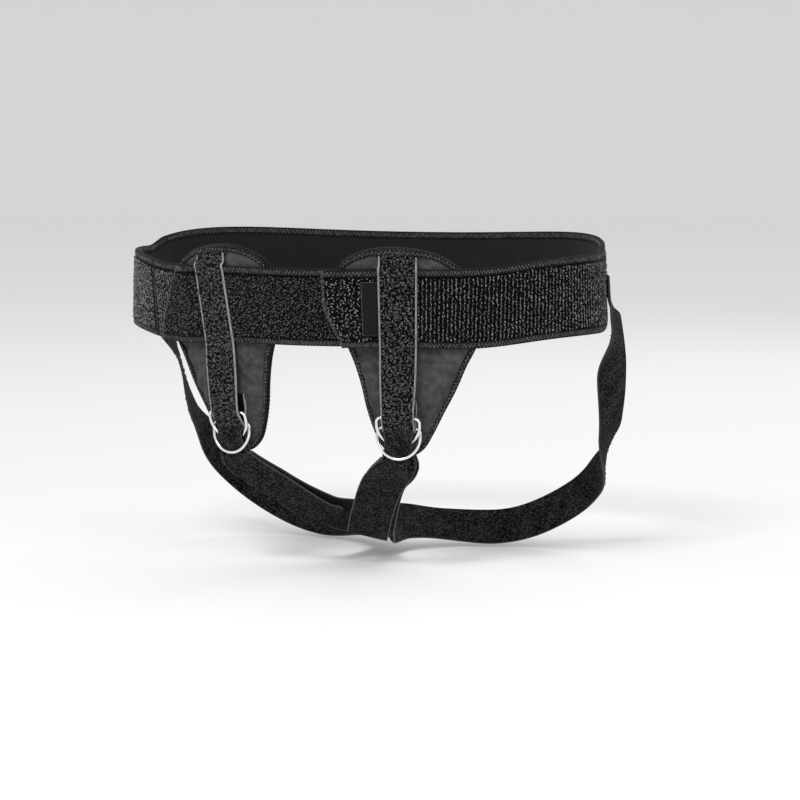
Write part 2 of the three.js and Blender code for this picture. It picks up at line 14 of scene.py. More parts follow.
import bpy
import numpy as np
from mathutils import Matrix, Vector


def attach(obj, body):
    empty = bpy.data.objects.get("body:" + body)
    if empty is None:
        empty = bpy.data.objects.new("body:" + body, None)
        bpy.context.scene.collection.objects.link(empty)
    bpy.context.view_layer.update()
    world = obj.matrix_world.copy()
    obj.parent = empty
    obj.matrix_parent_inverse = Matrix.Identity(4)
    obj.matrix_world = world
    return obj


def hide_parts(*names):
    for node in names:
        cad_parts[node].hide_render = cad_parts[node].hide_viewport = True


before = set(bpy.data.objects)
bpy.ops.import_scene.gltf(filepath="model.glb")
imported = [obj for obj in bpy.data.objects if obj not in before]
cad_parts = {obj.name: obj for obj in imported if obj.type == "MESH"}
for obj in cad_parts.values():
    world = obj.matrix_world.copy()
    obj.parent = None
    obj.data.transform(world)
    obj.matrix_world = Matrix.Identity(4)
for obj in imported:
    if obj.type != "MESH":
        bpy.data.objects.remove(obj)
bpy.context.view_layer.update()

log = logging.getLogger("hernia_belt")

MM = 0.001
BODY = "root"
GAP = 0.3
CLOTH_UV = "cloth"

Array = np.ndarray
Node = bpy.types.Node
Socket = bpy.types.NodeSocket
Tree = bpy.types.NodeTree
Solid = bpy.types.Object


def clamp01(value: Any) -> Any:
    """Limits a number or an array to the range from 0 to 1."""
    return np.clip(value, 0.0, 1.0)


def smooth(value: Any) -> Any:
    """Smooth step from 0 to 1 of a number or an array."""
    t = clamp01(value)
    return t * t * (3 - 2 * t)


def lerp(a: Any, b: Any, t: Any) -> Any:
    """Straight blend between two numbers, arrays or points."""
    return a + (b - a) * t


def unit(v: Array) -> Array:
    """Vectors of length 1 along the last axis."""
    return v / np.maximum(np.linalg.norm(v, axis=-1, keepdims=True), 1e-12)


@dataclass
class HipForm:
    """The form of the hips that every cloth piece follows, as two half superellipses in plan."""

    half_width: float = 190.0
    front_depth: float = 129.0
    back_depth: float = 118.0
    front_exponent: float = 1.85
    back_exponent: float = 2.2
    front_slant: float = 0.25
    back_slant: float = -0.15
    side_slant: float = -0.047
    side_rise: float = 8.7
    back_drop: float = 3.0
    back_rise: float = 20.0
    pad_pull: float = 3.8
    pad_pull_at: float = 42.0
    pad_pull_spread: float = 16.0
    steps: int = 1440
    angles: Array = field(init=False)
    girth: Array = field(init=False)

    def __post_init__(self) -> None:
        """Tabulates the length along the form against the angle from the front."""
        self.angles = np.linspace(0.0, math.pi, self.steps + 1)
        x, y, _, _ = self.plan(self.angles)
        self.girth = np.concatenate([[0.0], np.cumsum(np.hypot(np.diff(x), np.diff(y)))])

    @property
    def half_girth(self) -> float:
        """Length from the front centre to the back centre."""
        return float(self.girth[-1])

    def plan(self, angle: Array) -> tuple[Array, Array, Array, Array]:
        """Plan points and outward normals of the form.

        Args:
            angle: Angles from the front centre, in radians.

        Returns:
            x, y and the normal's x and y.
        """
        c, s = np.cos(angle), np.sin(angle)
        n = np.where(c > 0, self.front_exponent, self.back_exponent)
        depth = np.where(c > 0, self.front_depth, self.back_depth)
        x = self.half_width * np.sign(s) * np.abs(s) ** (2 / n)
        y = -depth * np.sign(c) * np.abs(c) ** (2 / n)
        nx = np.sign(x) * np.abs(x / self.half_width) ** (n - 1) / self.half_width
        ny = np.sign(y) * np.abs(y / depth) ** (n - 1) / depth
        length = np.hypot(nx, ny)
        return x, y, nx / length, ny / length

    def frames(self, along: Any) -> tuple[Array, Array, Array]:
        """Slanted frames of the form at lengths along the band.

        Args:
            along: Lengths from the front centre, positive towards the wearer's left.

        Returns:
            Base points, upward vectors and outward vectors.
        """
        along = np.asarray(along, float)
        rest = along - np.round(along / (2 * self.half_girth)) * 2 * self.half_girth
        angle = np.sign(rest) * np.interp(np.abs(rest), self.girth, self.angles)
        x, y, nx, ny = self.plan(angle)
        c, s = np.cos(angle), np.sin(angle)
        slant = np.where(c > 0, self.front_slant, self.back_slant) * c * c + self.side_slant * s * s
        q = np.hypot(1, slant)
        away = np.degrees(np.abs(angle)) - self.pad_pull_at
        pull = self.pad_pull * np.exp(-((away / self.pad_pull_spread) ** 2))
        behind = self.back_rise * (1 - (1 + np.minimum(c, 0)) ** 2) * smooth(-c / 0.2)
        z = -self.back_drop * (1 - c) / 2 + self.side_rise * s * s - pull + behind
        base = np.stack([x, y, z], -1)
        up = np.stack([nx * slant / q, ny * slant / q, 1 / q], -1)
        out = np.stack([nx / q, ny / q, -slant / q], -1)
        return base, up, out

    def points(self, along: Any, height: Any, out: Any) -> Array:
        """Points at lengths along the band, heights up its face and distances out from it."""
        along, height, out = np.broadcast_arrays(*(np.asarray(v, float) for v in (along, height, out)))
        base, up, away = self.frames(along)
        return base + up * height[..., None] + away * out[..., None]


HIPS = HipForm()


# Colours and finishes


def linear(code: str) -> tuple[float, float, float, float]:
    """Linear colour of an sRGB hex code."""
    parts = [int(code[i : i + 2], 16) / 255 for i in (0, 2, 4)]
    r, g, b = (p / 12.92 if p <= 0.04045 else ((p + 0.055) / 1.055) ** 2.4 for p in parts)
    return r, g, b, 1.0


def live(node: Node, name: str | None = None) -> Socket:
    """First output of a node that is switched on, by name where one is given."""
    return next(s for s in node.outputs if s.enabled and (name is None or s.name == name))


def add_node(tree: Tree, kind: str, inputs: dict[Any, Any] | None = None, **settings: Any) -> Node:
    """Adds a node with its settings, values and links.

    Args:
        tree: Node tree that gets the node.
        kind: Type name of the node.
        inputs: Values, nodes or sockets for inputs, by name or number. A node gives its first output.
        settings: Properties of the node.

    Returns:
        The new node.
    """
    node = tree.nodes.new(kind)
    for key, value in settings.items():
        setattr(node, key, value)
    for key, value in (inputs or {}).items():
        if isinstance(value, Node):
            value = live(value)
        if isinstance(value, Socket):
            tree.links.new(value, node.inputs[key])
        else:
            node.inputs[key].default_value = value
    return node


def maths(tree: Tree, operation: str, *values: Any, clamp: bool = False) -> Node:
    """Math node of two or three numbers, nodes or sockets."""
    return add_node(tree, "ShaderNodeMath", dict(enumerate(values)), operation=operation, use_clamp=clamp)


def ramp(tree: Tree, value: Any, low: float, high: float, first: float = 0.0, last: float = 1.0) -> Node:
    """Turns the range from low to high into the range from first to last."""
    return add_node(tree, "ShaderNodeMapRange", {0: value, 1: low, 2: high, 3: first, 4: last})


def noise(
    tree: Tree, at: Any, grain: float, detail: float, roughness: float = 0.5, twist: float = 0.0
) -> Node:
    """Noise whose grain has a size in the units of the place that it reads."""
    values = {"Vector": at, "Scale": 1 / grain, "Detail": detail, "Roughness": roughness, "Distortion": twist}
    return add_node(tree, "ShaderNodeTexNoise", values)


def bands(
    tree: Tree, at: Node, pitch: float, direction: str, sway: float = 0.3, detail: float = 1.0
) -> Socket:
    """Even bands at a pitch, across a direction."""
    values = {"Vector": at, "Scale": 2 * math.pi / 20 / pitch, "Distortion": sway, "Detail": detail}
    wave = add_node(tree, "ShaderNodeTexWave", values | {"Detail Scale": detail}, bands_direction=direction)
    return live(wave, "Fac")


def tones(tree: Tree, share: Node, dark: str, light: str) -> Socket:
    """Blend of a dark and a light colour."""
    mix = add_node(tree, "ShaderNodeMix", {0: share, 6: linear(dark), 7: linear(light)}, data_type="RGBA")
    return live(mix, "Result")


def blank(name: str, values: dict[str, Any]) -> tuple[bpy.types.Material, Tree, Node]:
    """New node material with even values set on its shader.

    Args:
        name: Name of the material.
        values: Values of the shader's own sockets.

    Returns:
        The material, its tree and its shader node.
    """
    made = bpy.data.materials.new(name)
    made.use_nodes = True
    shader = made.node_tree.nodes["Principled BSDF"]
    for key, value in values.items():
        shader.inputs[key].default_value = value
    return made, made.node_tree, shader


class Weave(Enum):
    """How a cloth's surface is made."""

    LOOPED = "looped pile"
    RIBBED = "ribbed knit with loops"
    OVERLOCKED = "folded tape under overlock thread"
    LINED = "smooth lined pad cloth"
    BRUSHED = "brushed loop webbing"
    WOVEN = "plain woven"


@dataclass(frozen=True)
class ClothFinish:
    """A cloth: its two tones, its weave and the weave's size in millimetres."""

    name: str
    weave: Weave
    dark: str
    light: str
    pitch: float
    relief: float
    roughness: float = 0.9
    sheen: float = 0.25
    mottle: float = 14.0
    specular: float = 0.03

    @cache
    def material(self) -> bpy.types.Material:
        """Node material of the cloth, on the piece's own cloth map."""
        values = {"Roughness": self.roughness, "Sheen Weight": self.sheen, "Sheen Roughness": 0.5}
        made, tree, shader = blank(self.name, values | {"Specular IOR Level": self.specular})
        uv = add_node(tree, "ShaderNodeUVMap", uv_map=CLOTH_UV)
        at = add_node(tree, "ShaderNodeVectorMath", {0: uv, "Scale": 1 / MM}, operation="SCALE")
        # The weave's height also blends the colour: the dark tone in its gaps is painted shade, the light
        # tone on its threads is painted highlight, and the patches are random tone.
        height = self.pattern(tree, at)
        patches = maths(tree, "MULTIPLY_ADD", noise(tree, at, self.mottle, 3.0, 0.6), 0.55, -0.27)
        shade = maths(tree, "ADD", height, patches, clamp=True)
        tree.links.new(tones(tree, shade, self.dark, self.light), shader.inputs["Base Color"])
        depth = self.relief * MM
        bump = add_node(tree, "ShaderNodeBump", {"Height": height, "Distance": depth, "Strength": 1.0})
        tree.links.new(live(bump), shader.inputs["Normal"])
        return made

    def pattern(self, tree: Tree, at: Node) -> Node:
        """Height pattern of the weave, from 0 in the gaps to 1 on the threads; the colour follows it, as
        painted shade in the gaps and painted highlight on the threads.

        Args:
            tree: Node tree of the material.
            at: Node that gives the place on the cloth in millimetres.

        Returns:
            Node whose first output is the height.
        """
        grid = {"Vector": at, "Scale": 1 / self.pitch, "Randomness": 1.0}
        cells = add_node(tree, "ShaderNodeTexVoronoi", grid)
        tips = ramp(tree, live(cells, "Distance"), 0.05, 0.62, 1.0, 0.0)
        if self.weave is Weave.LOOPED:
            return tips
        if self.weave is Weave.RIBBED:
            ribs = bands(tree, at, RIB_PITCH, "X", 0.6, 2.0)
            return maths(tree, "MULTIPLY", tips, maths(tree, "MULTIPLY_ADD", ribs, 0.75, 0.2))
        if self.weave is Weave.BRUSHED:
            hairs = ramp(tree, noise(tree, at, self.pitch, 5.0, 0.75, 0.6), 0.38, 0.68)
            return maths(tree, "MULTIPLY", hairs, tips)
        warp = bands(tree, at, self.pitch, "DIAGONAL" if self.weave is Weave.OVERLOCKED else "X")
        threads_over = maths(tree, "MULTIPLY", warp, bands(tree, at, self.pitch, "Y"))
        if self.weave is not Weave.LINED:
            return threads_over
        # Soft clouds for the pad's dents: they raise its bump and paint the dents' light and shade into its
        # colour.
        dent_bumps_and_shade = maths(tree, "MULTIPLY", noise(tree, at, 6.0, 3.0), 0.9)
        return maths(tree, "MULTIPLY_ADD", threads_over, 0.1, dent_bumps_and_shade)


@dataclass(frozen=True)
class ThreadFinish:
    """A spun thread or yarn, shaded a little differently from loop to loop."""

    name: str
    dark: str
    light: str
    roughness: float = 0.75
    sheen: float = 0.08
    specular: float = 0.08
    grain: float = 1.9

    @cache
    def material(self) -> bpy.types.Material:
        """Node material of the yarn, on object coordinates."""
        values = {"Roughness": self.roughness, "Sheen Weight": self.sheen}
        made, tree, shader = blank(self.name, values | {"Specular IOR Level": self.specular})
        place = live(add_node(tree, "ShaderNodeTexCoord"), "Object")
        spread = ramp(tree, noise(tree, place, self.grain * MM, 2.0, 0.7), 0.36, 0.66)
        tree.links.new(tones(tree, spread, self.dark, self.light), shader.inputs["Base Color"])
        return made


@dataclass(frozen=True)
class MetalFinish:
    """Plated wire: polished, with faint draw marks."""

    name: str
    colour: str
    roughness: float
    grain: float = 0.9

    @cache
    def material(self) -> bpy.types.Material:
        """Node material of the plated wire."""
        made, tree, shader = blank(self.name, {"Metallic": 1.0, "Base Color": linear(self.colour)})
        place = live(add_node(tree, "ShaderNodeTexCoord"), "Object")
        marks = noise(tree, place, self.grain * MM, 3.0)
        gloss = ramp(tree, marks, 0.3, 0.7, self.roughness * 0.7, self.roughness * 1.5)
        tree.links.new(live(gloss), shader.inputs["Roughness"])
        return made


RIB_PITCH = 3.1

# Polyester loop fastener cloth: near black between the loops as painted shade, dull grey on the loops' backs
# as painted highlight
LOOP_CLOTH = ClothFinish("polyester_loop_cloth", Weave.LOOPED, "030303", "18181a", 1.7, 0.4, sheen=0.05)
RIB_CLOTH = ClothFinish("elastic_rib_knit", Weave.RIBBED, "030303", "19191b", 1.6, 0.4, sheen=0.05)
LOOP_YARN = ThreadFinish("polyester_loop_yarn", "040405", "5c5c5f")
RIB_YARN = ThreadFinish("elastic_rib_yarn", "060607", "8c8c90")
STRAP_YARN = ThreadFinish("textured_nylon_yarn", "040405", "5e5e61")
# Knitted lining against the body: even dark grey with a fine thread line
LINING = ClothFinish("knitted_lining", Weave.WOVEN, "141415", "262628", 1.0, 0.08, sheen=0.1)
# Folded polyester tape: a shade lighter than the pile, its threads lie flat and catch the light
TAPE_CLOTH = ClothFinish("folded_polyester_tape", Weave.OVERLOCKED, "080809", "39393c", 1.3, 0.15, sheen=0.05)
TAPE_THREAD = ThreadFinish("polyester_sewing_thread", "1a1a1c", "68686b", 0.6)
# Warp knit over foam: matt mid grey, with lighter and darker clouds painted on as the light and shade of its
# soft dents
PAD_CLOTH = ClothFinish(
    "warp_knit_pad_cover", Weave.LINED, "0a0a0b", "58585a", 1.1, 0.2, mottle=26.0, sheen=0.08
)
# Brushed nylon loop webbing: a fine nap with stray lighter hairs
LEG_WEBBING = ClothFinish("brushed_nylon_webbing", Weave.BRUSHED, "070708", "5e5e61", 1.5, 0.4, sheen=0.04)
WEBBING_HAIR = ThreadFinish("nylon_nap", "0a0a0b", "4e4e51")
# Satin-woven edge of the webbing: the lightest cloth on the belt
SELVAGE = ClothFinish("woven_nylon_selvage", Weave.WOVEN, "5c5c60", "b4b4b8", 0.9, 0.1, roughness=0.6)
DULL_SELVAGE = ClothFinish("brushed_nylon_selvage", Weave.WOVEN, "1c1c1e", "4a4a4d", 0.9, 0.1)
# Damask label cloth: flat black with a slight gloss
LABEL_CLOTH = ClothFinish("damask_label_cloth", Weave.WOVEN, "050506", "151516", 0.7, 0.08, roughness=0.6)
# Bright nickel on steel wire: mirrors the lights as hard white lines
NICKEL = MetalFinish("bright_nickel_plate", "e6e6e8", 0.12)


# Meshes


def quads(rows: int, count: int, ring: bool) -> list[tuple[int, ...]]:
    """Faces of a skin of closed outlines.

    Args:
        rows: How many outlines there are.
        count: How many points each outline has.
        ring: Whether the last outline joins the first; otherwise both get a cap.

    Returns:
        Tuples of point numbers.
    """
    faces: list[tuple[int, ...]] = []
    for r in range(rows if ring else rows - 1):
        a, b = r * count, (r + 1) % rows * count
        faces += [(a + k, a + (k + 1) % count, b + (k + 1) % count, b + k) for k in range(count)]
    if not ring:
        faces.append(tuple(range(count))[::-1])
        faces.append(tuple((rows - 1) * count + k for k in range(count)))
    return faces


def signed_volume(points: Array, faces: Sequence[Sequence[int]]) -> float:
    """Six times the volume inside closed faces, negative where they point inwards."""
    total = 0.0
    for f in faces:
        fan = points[list(f)]
        first = np.broadcast_to(fan[0], fan[1:-1].shape)
        total += float(np.einsum("ij,ij->", np.cross(fan[1:-1], fan[2:]), first))
    return total


def piece(
    name: str,
    points: Array,
    faces: Sequence[Sequence[int]],
    materials: Sequence[bpy.types.Material],
    uv: Array | None = None,
    slots: Sequence[int] | None = None,
) -> Solid:
    """Makes a closed, smooth mesh object from points in millimetres.

    Args:
        name: Name of the piece.
        points: Points, one row each.
        faces: Point numbers of each face.
        materials: Materials of the piece.
        uv: Place on the flat cloth for each point, in millimetres.
        slots: Material number of each face.

    Returns:
        The object, at the origin, unturned and unscaled.
    """
    points = np.asarray(points, float).reshape(-1, 3)
    if signed_volume(points, faces) < 0:
        faces = [tuple(f)[::-1] for f in faces]
    mesh = bpy.data.meshes.new(name)
    mesh.from_pydata((points * MM).tolist(), [], [tuple(f) for f in faces])
    if uv is not None:
        layer = mesh.uv_layers.new(name=CLOTH_UV)
        corners = np.empty(len(mesh.loops), int)
        mesh.loops.foreach_get("vertex_index", corners)
        layer.data.foreach_set("uv", (np.asarray(uv).reshape(-1, 2)[corners] * MM).ravel())
    if slots is not None:
        mesh.polygons.foreach_set("material_index", list(slots))
    for material in materials:
        mesh.materials.append(material)
    mesh.polygons.foreach_set("use_smooth", [True] * len(mesh.polygons))
    mesh.update()
    obj = bpy.data.objects.new(name, mesh)
    bpy.context.scene.collection.objects.link(obj)
    return obj


def carry(obj: Solid, slot: str, *nodes: str) -> Solid:
    """Lets a piece ride on the belt and hides the solids that it stands for."""
    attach(obj, BODY)
    if nodes:
        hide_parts(*nodes)
    log.info("%s: %d faces", obj.name, len(obj.data.polygons))
    return obj


@dataclass(frozen=True)
class Thread:
    """One repeated loop or stitch of yarn, in millimetres."""

    length: float
    rise: float
    radius: float
    turn: float = 0.0
    spread: float = 0.0
    segments: int = 3
    sides: int = 4
    seed: int = 1


def thread_tree(name: str, thread: Thread, material: bpy.types.Material) -> Tree:
    """Geometry Nodes tree that sets one bent thread on every point of a mesh.

    Args:
        name: Name of the tree.
        thread: The thread, whose counts are built in.
        material: Material of the threads.

    Returns:
        The tree, with the thread's sizes as named inputs.
    """
    tree = bpy.data.node_groups.new(name, "GeometryNodeTree")
    tree.interface.new_socket(name="Geometry", in_out="INPUT", socket_type="NodeSocketGeometry")
    for label in ("Thread Length", "Thread Rise", "Thread Radius", "Turn Spread", "Size Spread"):
        tree.interface.new_socket(name=label, in_out="INPUT", socket_type="NodeSocketFloat")
    tree.interface.new_socket(name="Seed", in_out="INPUT", socket_type="NodeSocketInt")
    tree.interface.new_socket(name="Geometry", in_out="OUTPUT", socket_type="NodeSocketGeometry")
    given = add_node(tree, "NodeGroupInput").outputs

    def corner(axis: str, label: str, factor: float) -> Node:
        """Point on an axis at an input times a number."""
        return add_node(tree, "ShaderNodeCombineXYZ", {axis: maths(tree, "MULTIPLY", given[label], factor)})

    def stored(label: str) -> Socket:
        """Direction stored on the points."""
        kind = "GeometryNodeInputNamedAttribute"
        return live(add_node(tree, kind, {"Name": label}, data_type="FLOAT_VECTOR"), "Attribute")

    def drawn(least: Any, most: Any) -> Node:
        """Random number for each point."""
        values = {2: least, 3: most, "Seed": given["Seed"]}
        return add_node(tree, "FunctionNodeRandomValue", values, data_type="FLOAT")

    ends = {
        "Resolution": thread.segments,
        "Start": corner("X", "Thread Length", -0.5),
        "Middle": corner("Z", "Thread Rise", 2.0),
        "End": corner("X", "Thread Length", 0.5),
    }
    bow = add_node(tree, "GeometryNodeCurveQuadraticBezier", ends)
    round_yarn = {"Resolution": thread.sides, "Radius": given["Thread Radius"]}
    profile = live(add_node(tree, "GeometryNodeCurvePrimitiveCircle", round_yarn), "Curve")
    yarn = add_node(
        tree, "GeometryNodeCurveToMesh", {"Curve": bow, "Profile Curve": profile, "Fill Caps": True}
    )
    axes = add_node(
        tree,
        "FunctionNodeAxesToRotation",
        {"Primary Axis": stored("facing"), "Secondary Axis": stored("run")},
        primary_axis="Z",
        secondary_axis="X",
    )
    turn = drawn(maths(tree, "MULTIPLY", given["Turn Spread"], -1.0), given["Turn Spread"])
    twist = add_node(tree, "FunctionNodeAxisAngleToRotation", {"Axis": (0.0, 0.0, 1.0), "Angle": turn})
    lie = add_node(
        tree, "FunctionNodeRotateRotation", {"Rotation": axes, "Rotate By": twist}, rotation_space="LOCAL"
    )
    size = drawn(*(maths(tree, way, 1.0, given["Size Spread"]) for way in ("SUBTRACT", "ADD")))
    each = add_node(
        tree,
        "GeometryNodeInstanceOnPoints",
        {"Points": given["Geometry"], "Instance": yarn, "Rotation": lie, "Scale": live(size)},
    )
    real = add_node(tree, "GeometryNodeRealizeInstances", {0: each})
    rounded = add_node(tree, "GeometryNodeSetShadeSmooth", {0: real})
    dressed = add_node(tree, "GeometryNodeSetMaterial", {"Geometry": rounded, "Material": material})
    add_node(tree, "NodeGroupOutput", {0: dressed})
    return tree


Places = tuple[Array, Array, Array]
Table = tuple[tuple[float, ...], ...]


def sew(name: str, slot: str, finish: ThreadFinish, thread: Thread, *groups: Places) -> Solid:
    """Sets a thread on every given place and turns the result into a plain mesh.

    Args:
        name: Name of the piece.
        slot: Not used.
        finish: Finish of the thread.
        thread: The repeated thread.
        groups: Points in millimetres, their outward directions and the threads' directions.

    Returns:
        The object with the real threads, carried by the belt.
    """
    points, facing, run = (np.concatenate(group) for group in zip(*groups))
    mesh = bpy.data.meshes.new(name + "_places")
    mesh.from_pydata((points * MM).tolist(), [], [])
    for key, values in (("facing", facing), ("run", unit(run))):
        store = mesh.attributes.new(key, "FLOAT_VECTOR", "POINT")
        store.data.foreach_set("vector", np.ascontiguousarray(values, dtype=np.float32).ravel())
    places = bpy.data.objects.new(name + "_places", mesh)
    bpy.context.scene.collection.objects.link(places)
    modifier = places.modifiers.new("threads", "NODES")
    modifier.node_group = thread_tree(name + "_threads", thread, finish.material())
    sizes = {
        "Thread Length": thread.length * MM,
        "Thread Rise": thread.rise * MM,
        "Thread Radius": thread.radius * MM,
        "Turn Spread": thread.turn,
        "Size Spread": thread.spread,
        "Seed": thread.seed,
    }
    for socket in modifier.node_group.interface.items_tree:
        if socket.in_out == "INPUT" and socket.name in sizes:
            modifier[socket.identifier] = sizes[socket.name]
    made = bpy.data.meshes.new_from_object(places.evaluated_get(bpy.context.evaluated_depsgraph_get()))
    made.name = name
    places.modifiers.clear()
    bpy.data.objects.remove(places)
    bpy.data.meshes.remove(mesh)
    obj = bpy.data.objects.new(name, made)
    bpy.context.scene.collection.objects.link(obj)
    return carry(obj, slot)


# Bands


@dataclass
class BandLength:
    """One of the two lengths of the waist band, with its edge tapes and its pile."""

    name: str
    start: float
    end: float
    start_cut: Callable[[Any], Any]
    lift: Callable[[Any], Any]
    ribbed: bool
    shown: Callable[[Array, Array], Array]
    height: float = 60.0
    thick: float = 3.0
    tape_cover: float = 5.2
    tape_thick: float = 0.7
    fade: float = 33.8
    step: float = 0.82
    rib_relief: float = 0.3
    even_from: float = 95.0
    even_reach: float = 18.0
    edge_inset: float = 0.9
    creases: tuple[float, ...] = ()
    seed: int = 11

    def place(self, along: Array, height: Array) -> Array:
        """Where a station lies at a height, once the cut end has drawn it in."""
        return along + self.start_cut(height) * clamp01(1 - (along - self.start) / self.fade)

    def rows(self, section: Sequence[tuple[float, float]], step: float, relief: bool) -> tuple[Array, Array]:
        """Skin rows of a section drawn along the length.

        Args:
            section: Heights and distances out.
            step: Spacing of the rows.
            relief: Whether the outer face gets its ribs and creases.

        Returns:
            Points and their places on the flat cloth, as arrays of rows.
        """
        along = np.linspace(self.start, self.end, max(2, round((self.end - self.start) / step)))
        height, out = (np.array(v) for v in zip(*section))
        at = self.place(along[:, None], height[None, :])
        away = out[None, :] + self.lift(at)
        if relief:
            face = smooth((out[None, :] + 0.4) / 0.4)
            away = away + face * self.relief(at, height[None, :])
        return HIPS.points(at, height[None, :], away), np.stack(np.broadcast_arrays(at, height[None, :]), -1)

    def relief(self, at: Array, height: Array) -> Array:
        """Ribs, pressed-through pad edges and slow waves of the outer face."""
        ribs = self.rib_relief * np.cos(2 * math.pi * at / RIB_PITCH) if self.ribbed else 0.0
        slow = 0.16 * np.sin(at / 17.0 + 0.8 * np.sin(height / 13.0)) + 0.1 * np.sin(at / 7.3 + height / 9.0)
        press = sum(0.45 * np.exp(-(((at - c) / 1.7) ** 2)) for c in self.creases)
        return ribs + slow + press

    def cloth(self) -> Solid:
        """The band between its tapes, with thin margins inside them."""
        margin = self.tape_thick + GAP
        top, seam = self.height / 2 - margin, self.height / 2 - self.tape_cover - GAP
        inner, rounding = -self.thick, 0.55
        faces = [(h, 0.0) for h in np.linspace(seam - 2.2, 2.2 - seam, 13)]
        front = [
            (top, -margin), (seam, -margin), (seam - 0.7, -rounding), *faces,
            (0.7 - seam, -rounding), (-seam, -margin), (-top, -margin),
        ]
        back = [
            (-top, inner + margin), (-seam, inner + margin), (0.8 - seam, inner), (0.0, inner),
            (seam - 0.8, inner), (seam, inner + margin), (top, inner + margin),
        ]
        count = len(front) + len(back)
        points, uv = self.rows(front + back, self.step, True)
        around = [int(len(front) - 1 <= k < count - 1) for k in range(count)]
        slots = around * (len(points) - 1) + [0, 0]
        finishes = [(RIB_CLOTH if self.ribbed else LOOP_CLOTH).material(), LINING.material()]
        obj = piece(f"{self.name}_cloth", points, quads(len(points), count, False), finishes, uv, slots)
        return carry(obj, "loop_pile", self.name)

    def tape(self, side: int, word: str) -> Solid:
        """The tape folded over the top or the bottom edge."""
        top, foot = self.height / 2, self.height / 2 - self.tape_cover
        back, inside = -self.thick, self.tape_thick
        section = [
            (foot, -0.1), (foot + 0.5, 0.18), (foot + 2.2, 0.26), (top - 1.2, 0.1), (top - 0.3, -0.5),
            (top, back / 2), (top - 0.3, back + 0.5), (top - 1.2, back - 0.1), (foot + 2.2, back - 0.24),
            (foot + 0.5, back - 0.18), (foot, back + 0.1), (foot, back + inside),
            (top - inside, back + inside), (top - inside, -inside), (foot, -inside),
        ]
        section = [(side * h, o) for h, o in section]
        points, uv = self.rows(section, 2.6, False)
        uv = uv + np.array([0.0, 3.0])
        name = f"{self.name}_{word}_tape"
        faces = quads(len(points), len(section), False)
        obj = piece(f"{name}_folded", points, faces, [TAPE_CLOTH.material()], uv)
        return carry(obj, "edge_tape", name)

    def tape_stitches(self, side: int, word: str) -> Solid:
        """Zigzag thread over the tape, on its outer and its inner side."""
        pitch, reach = 1.35, 3.5
        along = np.arange(self.start + 1.5, self.end - 1.0, pitch)
        middle = side * (self.height / 2 - self.tape_cover / 2 - 0.1)
        zig = np.where(np.arange(len(along)) % 2 == 0, 1.0, -1.0)
        at = self.place(along, np.full_like(along, middle))
        groups = []
        for out, turn in ((0.2, 1.0), (-self.thick - 0.18, -1.0)):
            points = HIPS.points(at, middle, out + self.lift(at))
            ahead = HIPS.points(at + pitch / 2, middle + zig * reach / 2, out + self.lift(at + pitch / 2))
            facing = HIPS.frames(at)[2] * turn
            seen = self.shown(at, np.full_like(at, side * (self.height / 2 - 1))) | (turn < 0)
            groups.append((points[seen], facing[seen], (ahead - points)[seen]))
        thread = Thread(length=3.3, rise=0.16, radius=0.24, turn=0.12, spread=0.08, seed=self.seed)
        return sew(f"{self.name}_{word}_stitches", "edge_tape", TAPE_THREAD, thread, *groups)

    def pile(self) -> Solid:
        """Loops of yarn over the outer face, in ribs or at random."""
        rng = np.random.default_rng(self.seed)
        pitch, rise = (RIB_PITCH, 1.6) if self.ribbed else (1.85, 1.7)
        reach = self.height / 2 - self.tape_cover - 1.0
        columns = np.arange(math.ceil(self.start / pitch), self.end / pitch) * pitch
        levels = np.arange(-reach, reach, rise)
        at, height = (v.ravel() for v in np.meshgrid(columns, levels, indexing="ij"))
        stray = self.stray(at)
        at = at + rng.normal(0, 1, len(at)) * lerp(0.3, 0.8, stray)
        height = height + rng.normal(0, 1, len(at)) * lerp(0.45, 0.7, stray)
        seen = self.shown(at, height) & (np.abs(height) < reach + 0.4)
        seen &= at > self.start + self.start_cut(height) + self.edge_inset
        at, height = at[seen], height[seen]
        points = HIPS.points(at, height, self.lift(at) + self.relief(at, height) - 0.12)
        _, up, facing = HIPS.frames(at)
        across = unit(np.cross(up, facing))
        lean = rng.uniform(0, 2 * math.pi, len(at))[:, None]
        wild = self.stray(at)[:, None] if self.ribbed else 0.75
        run = up * lerp(1.0, np.cos(lean), wild) + across * np.sin(lean) * wild
        thread = Thread(length=1.15, rise=0.78, radius=0.42, turn=0.5, spread=0.32, sides=3, seed=self.seed)
        yarn = RIB_YARN if self.ribbed else LOOP_YARN
        return sew(f"{self.name}_pile", "loop_pile", yarn, thread, (points, facing, run))

    def stray(self, at: Array) -> Array:
        """How far the loops leave their ribs, which fade out towards the front closure."""
        return smooth((self.even_from - at) / self.even_reach) if self.ribbed else np.ones(len(at))

    def cut_edge(self) -> Solid:
        """Close stitches over the lapping cut end, from one tape to the other."""
        reach = self.height / 2 - 0.6
        height = np.arange(-reach, reach, 1.15)
        at = self.start + self.start_cut(height) + self.edge_inset
        out = self.lift(at) + 0.15
        points = HIPS.points(at, height, out)
        inward = HIPS.points(at + 1.0, height, out) - points
        thread = Thread(length=2.2, rise=0.5, radius=0.34, turn=0.15, spread=0.12, seed=self.seed)
        places = (points, HIPS.frames(at)[2], inward)
        return sew(f"{self.name}_cut_edge", "edge_tape", TAPE_THREAD, thread, places)

    def build(self) -> None:
        """Makes the cloth, its tapes and its threads."""
        self.cloth()
        self.cut_edge()
        for side, word in ((1, "top"), (-1, "bottom")):
            self.tape(side, word)
            self.tape_stitches(side, word)
        self.pile()


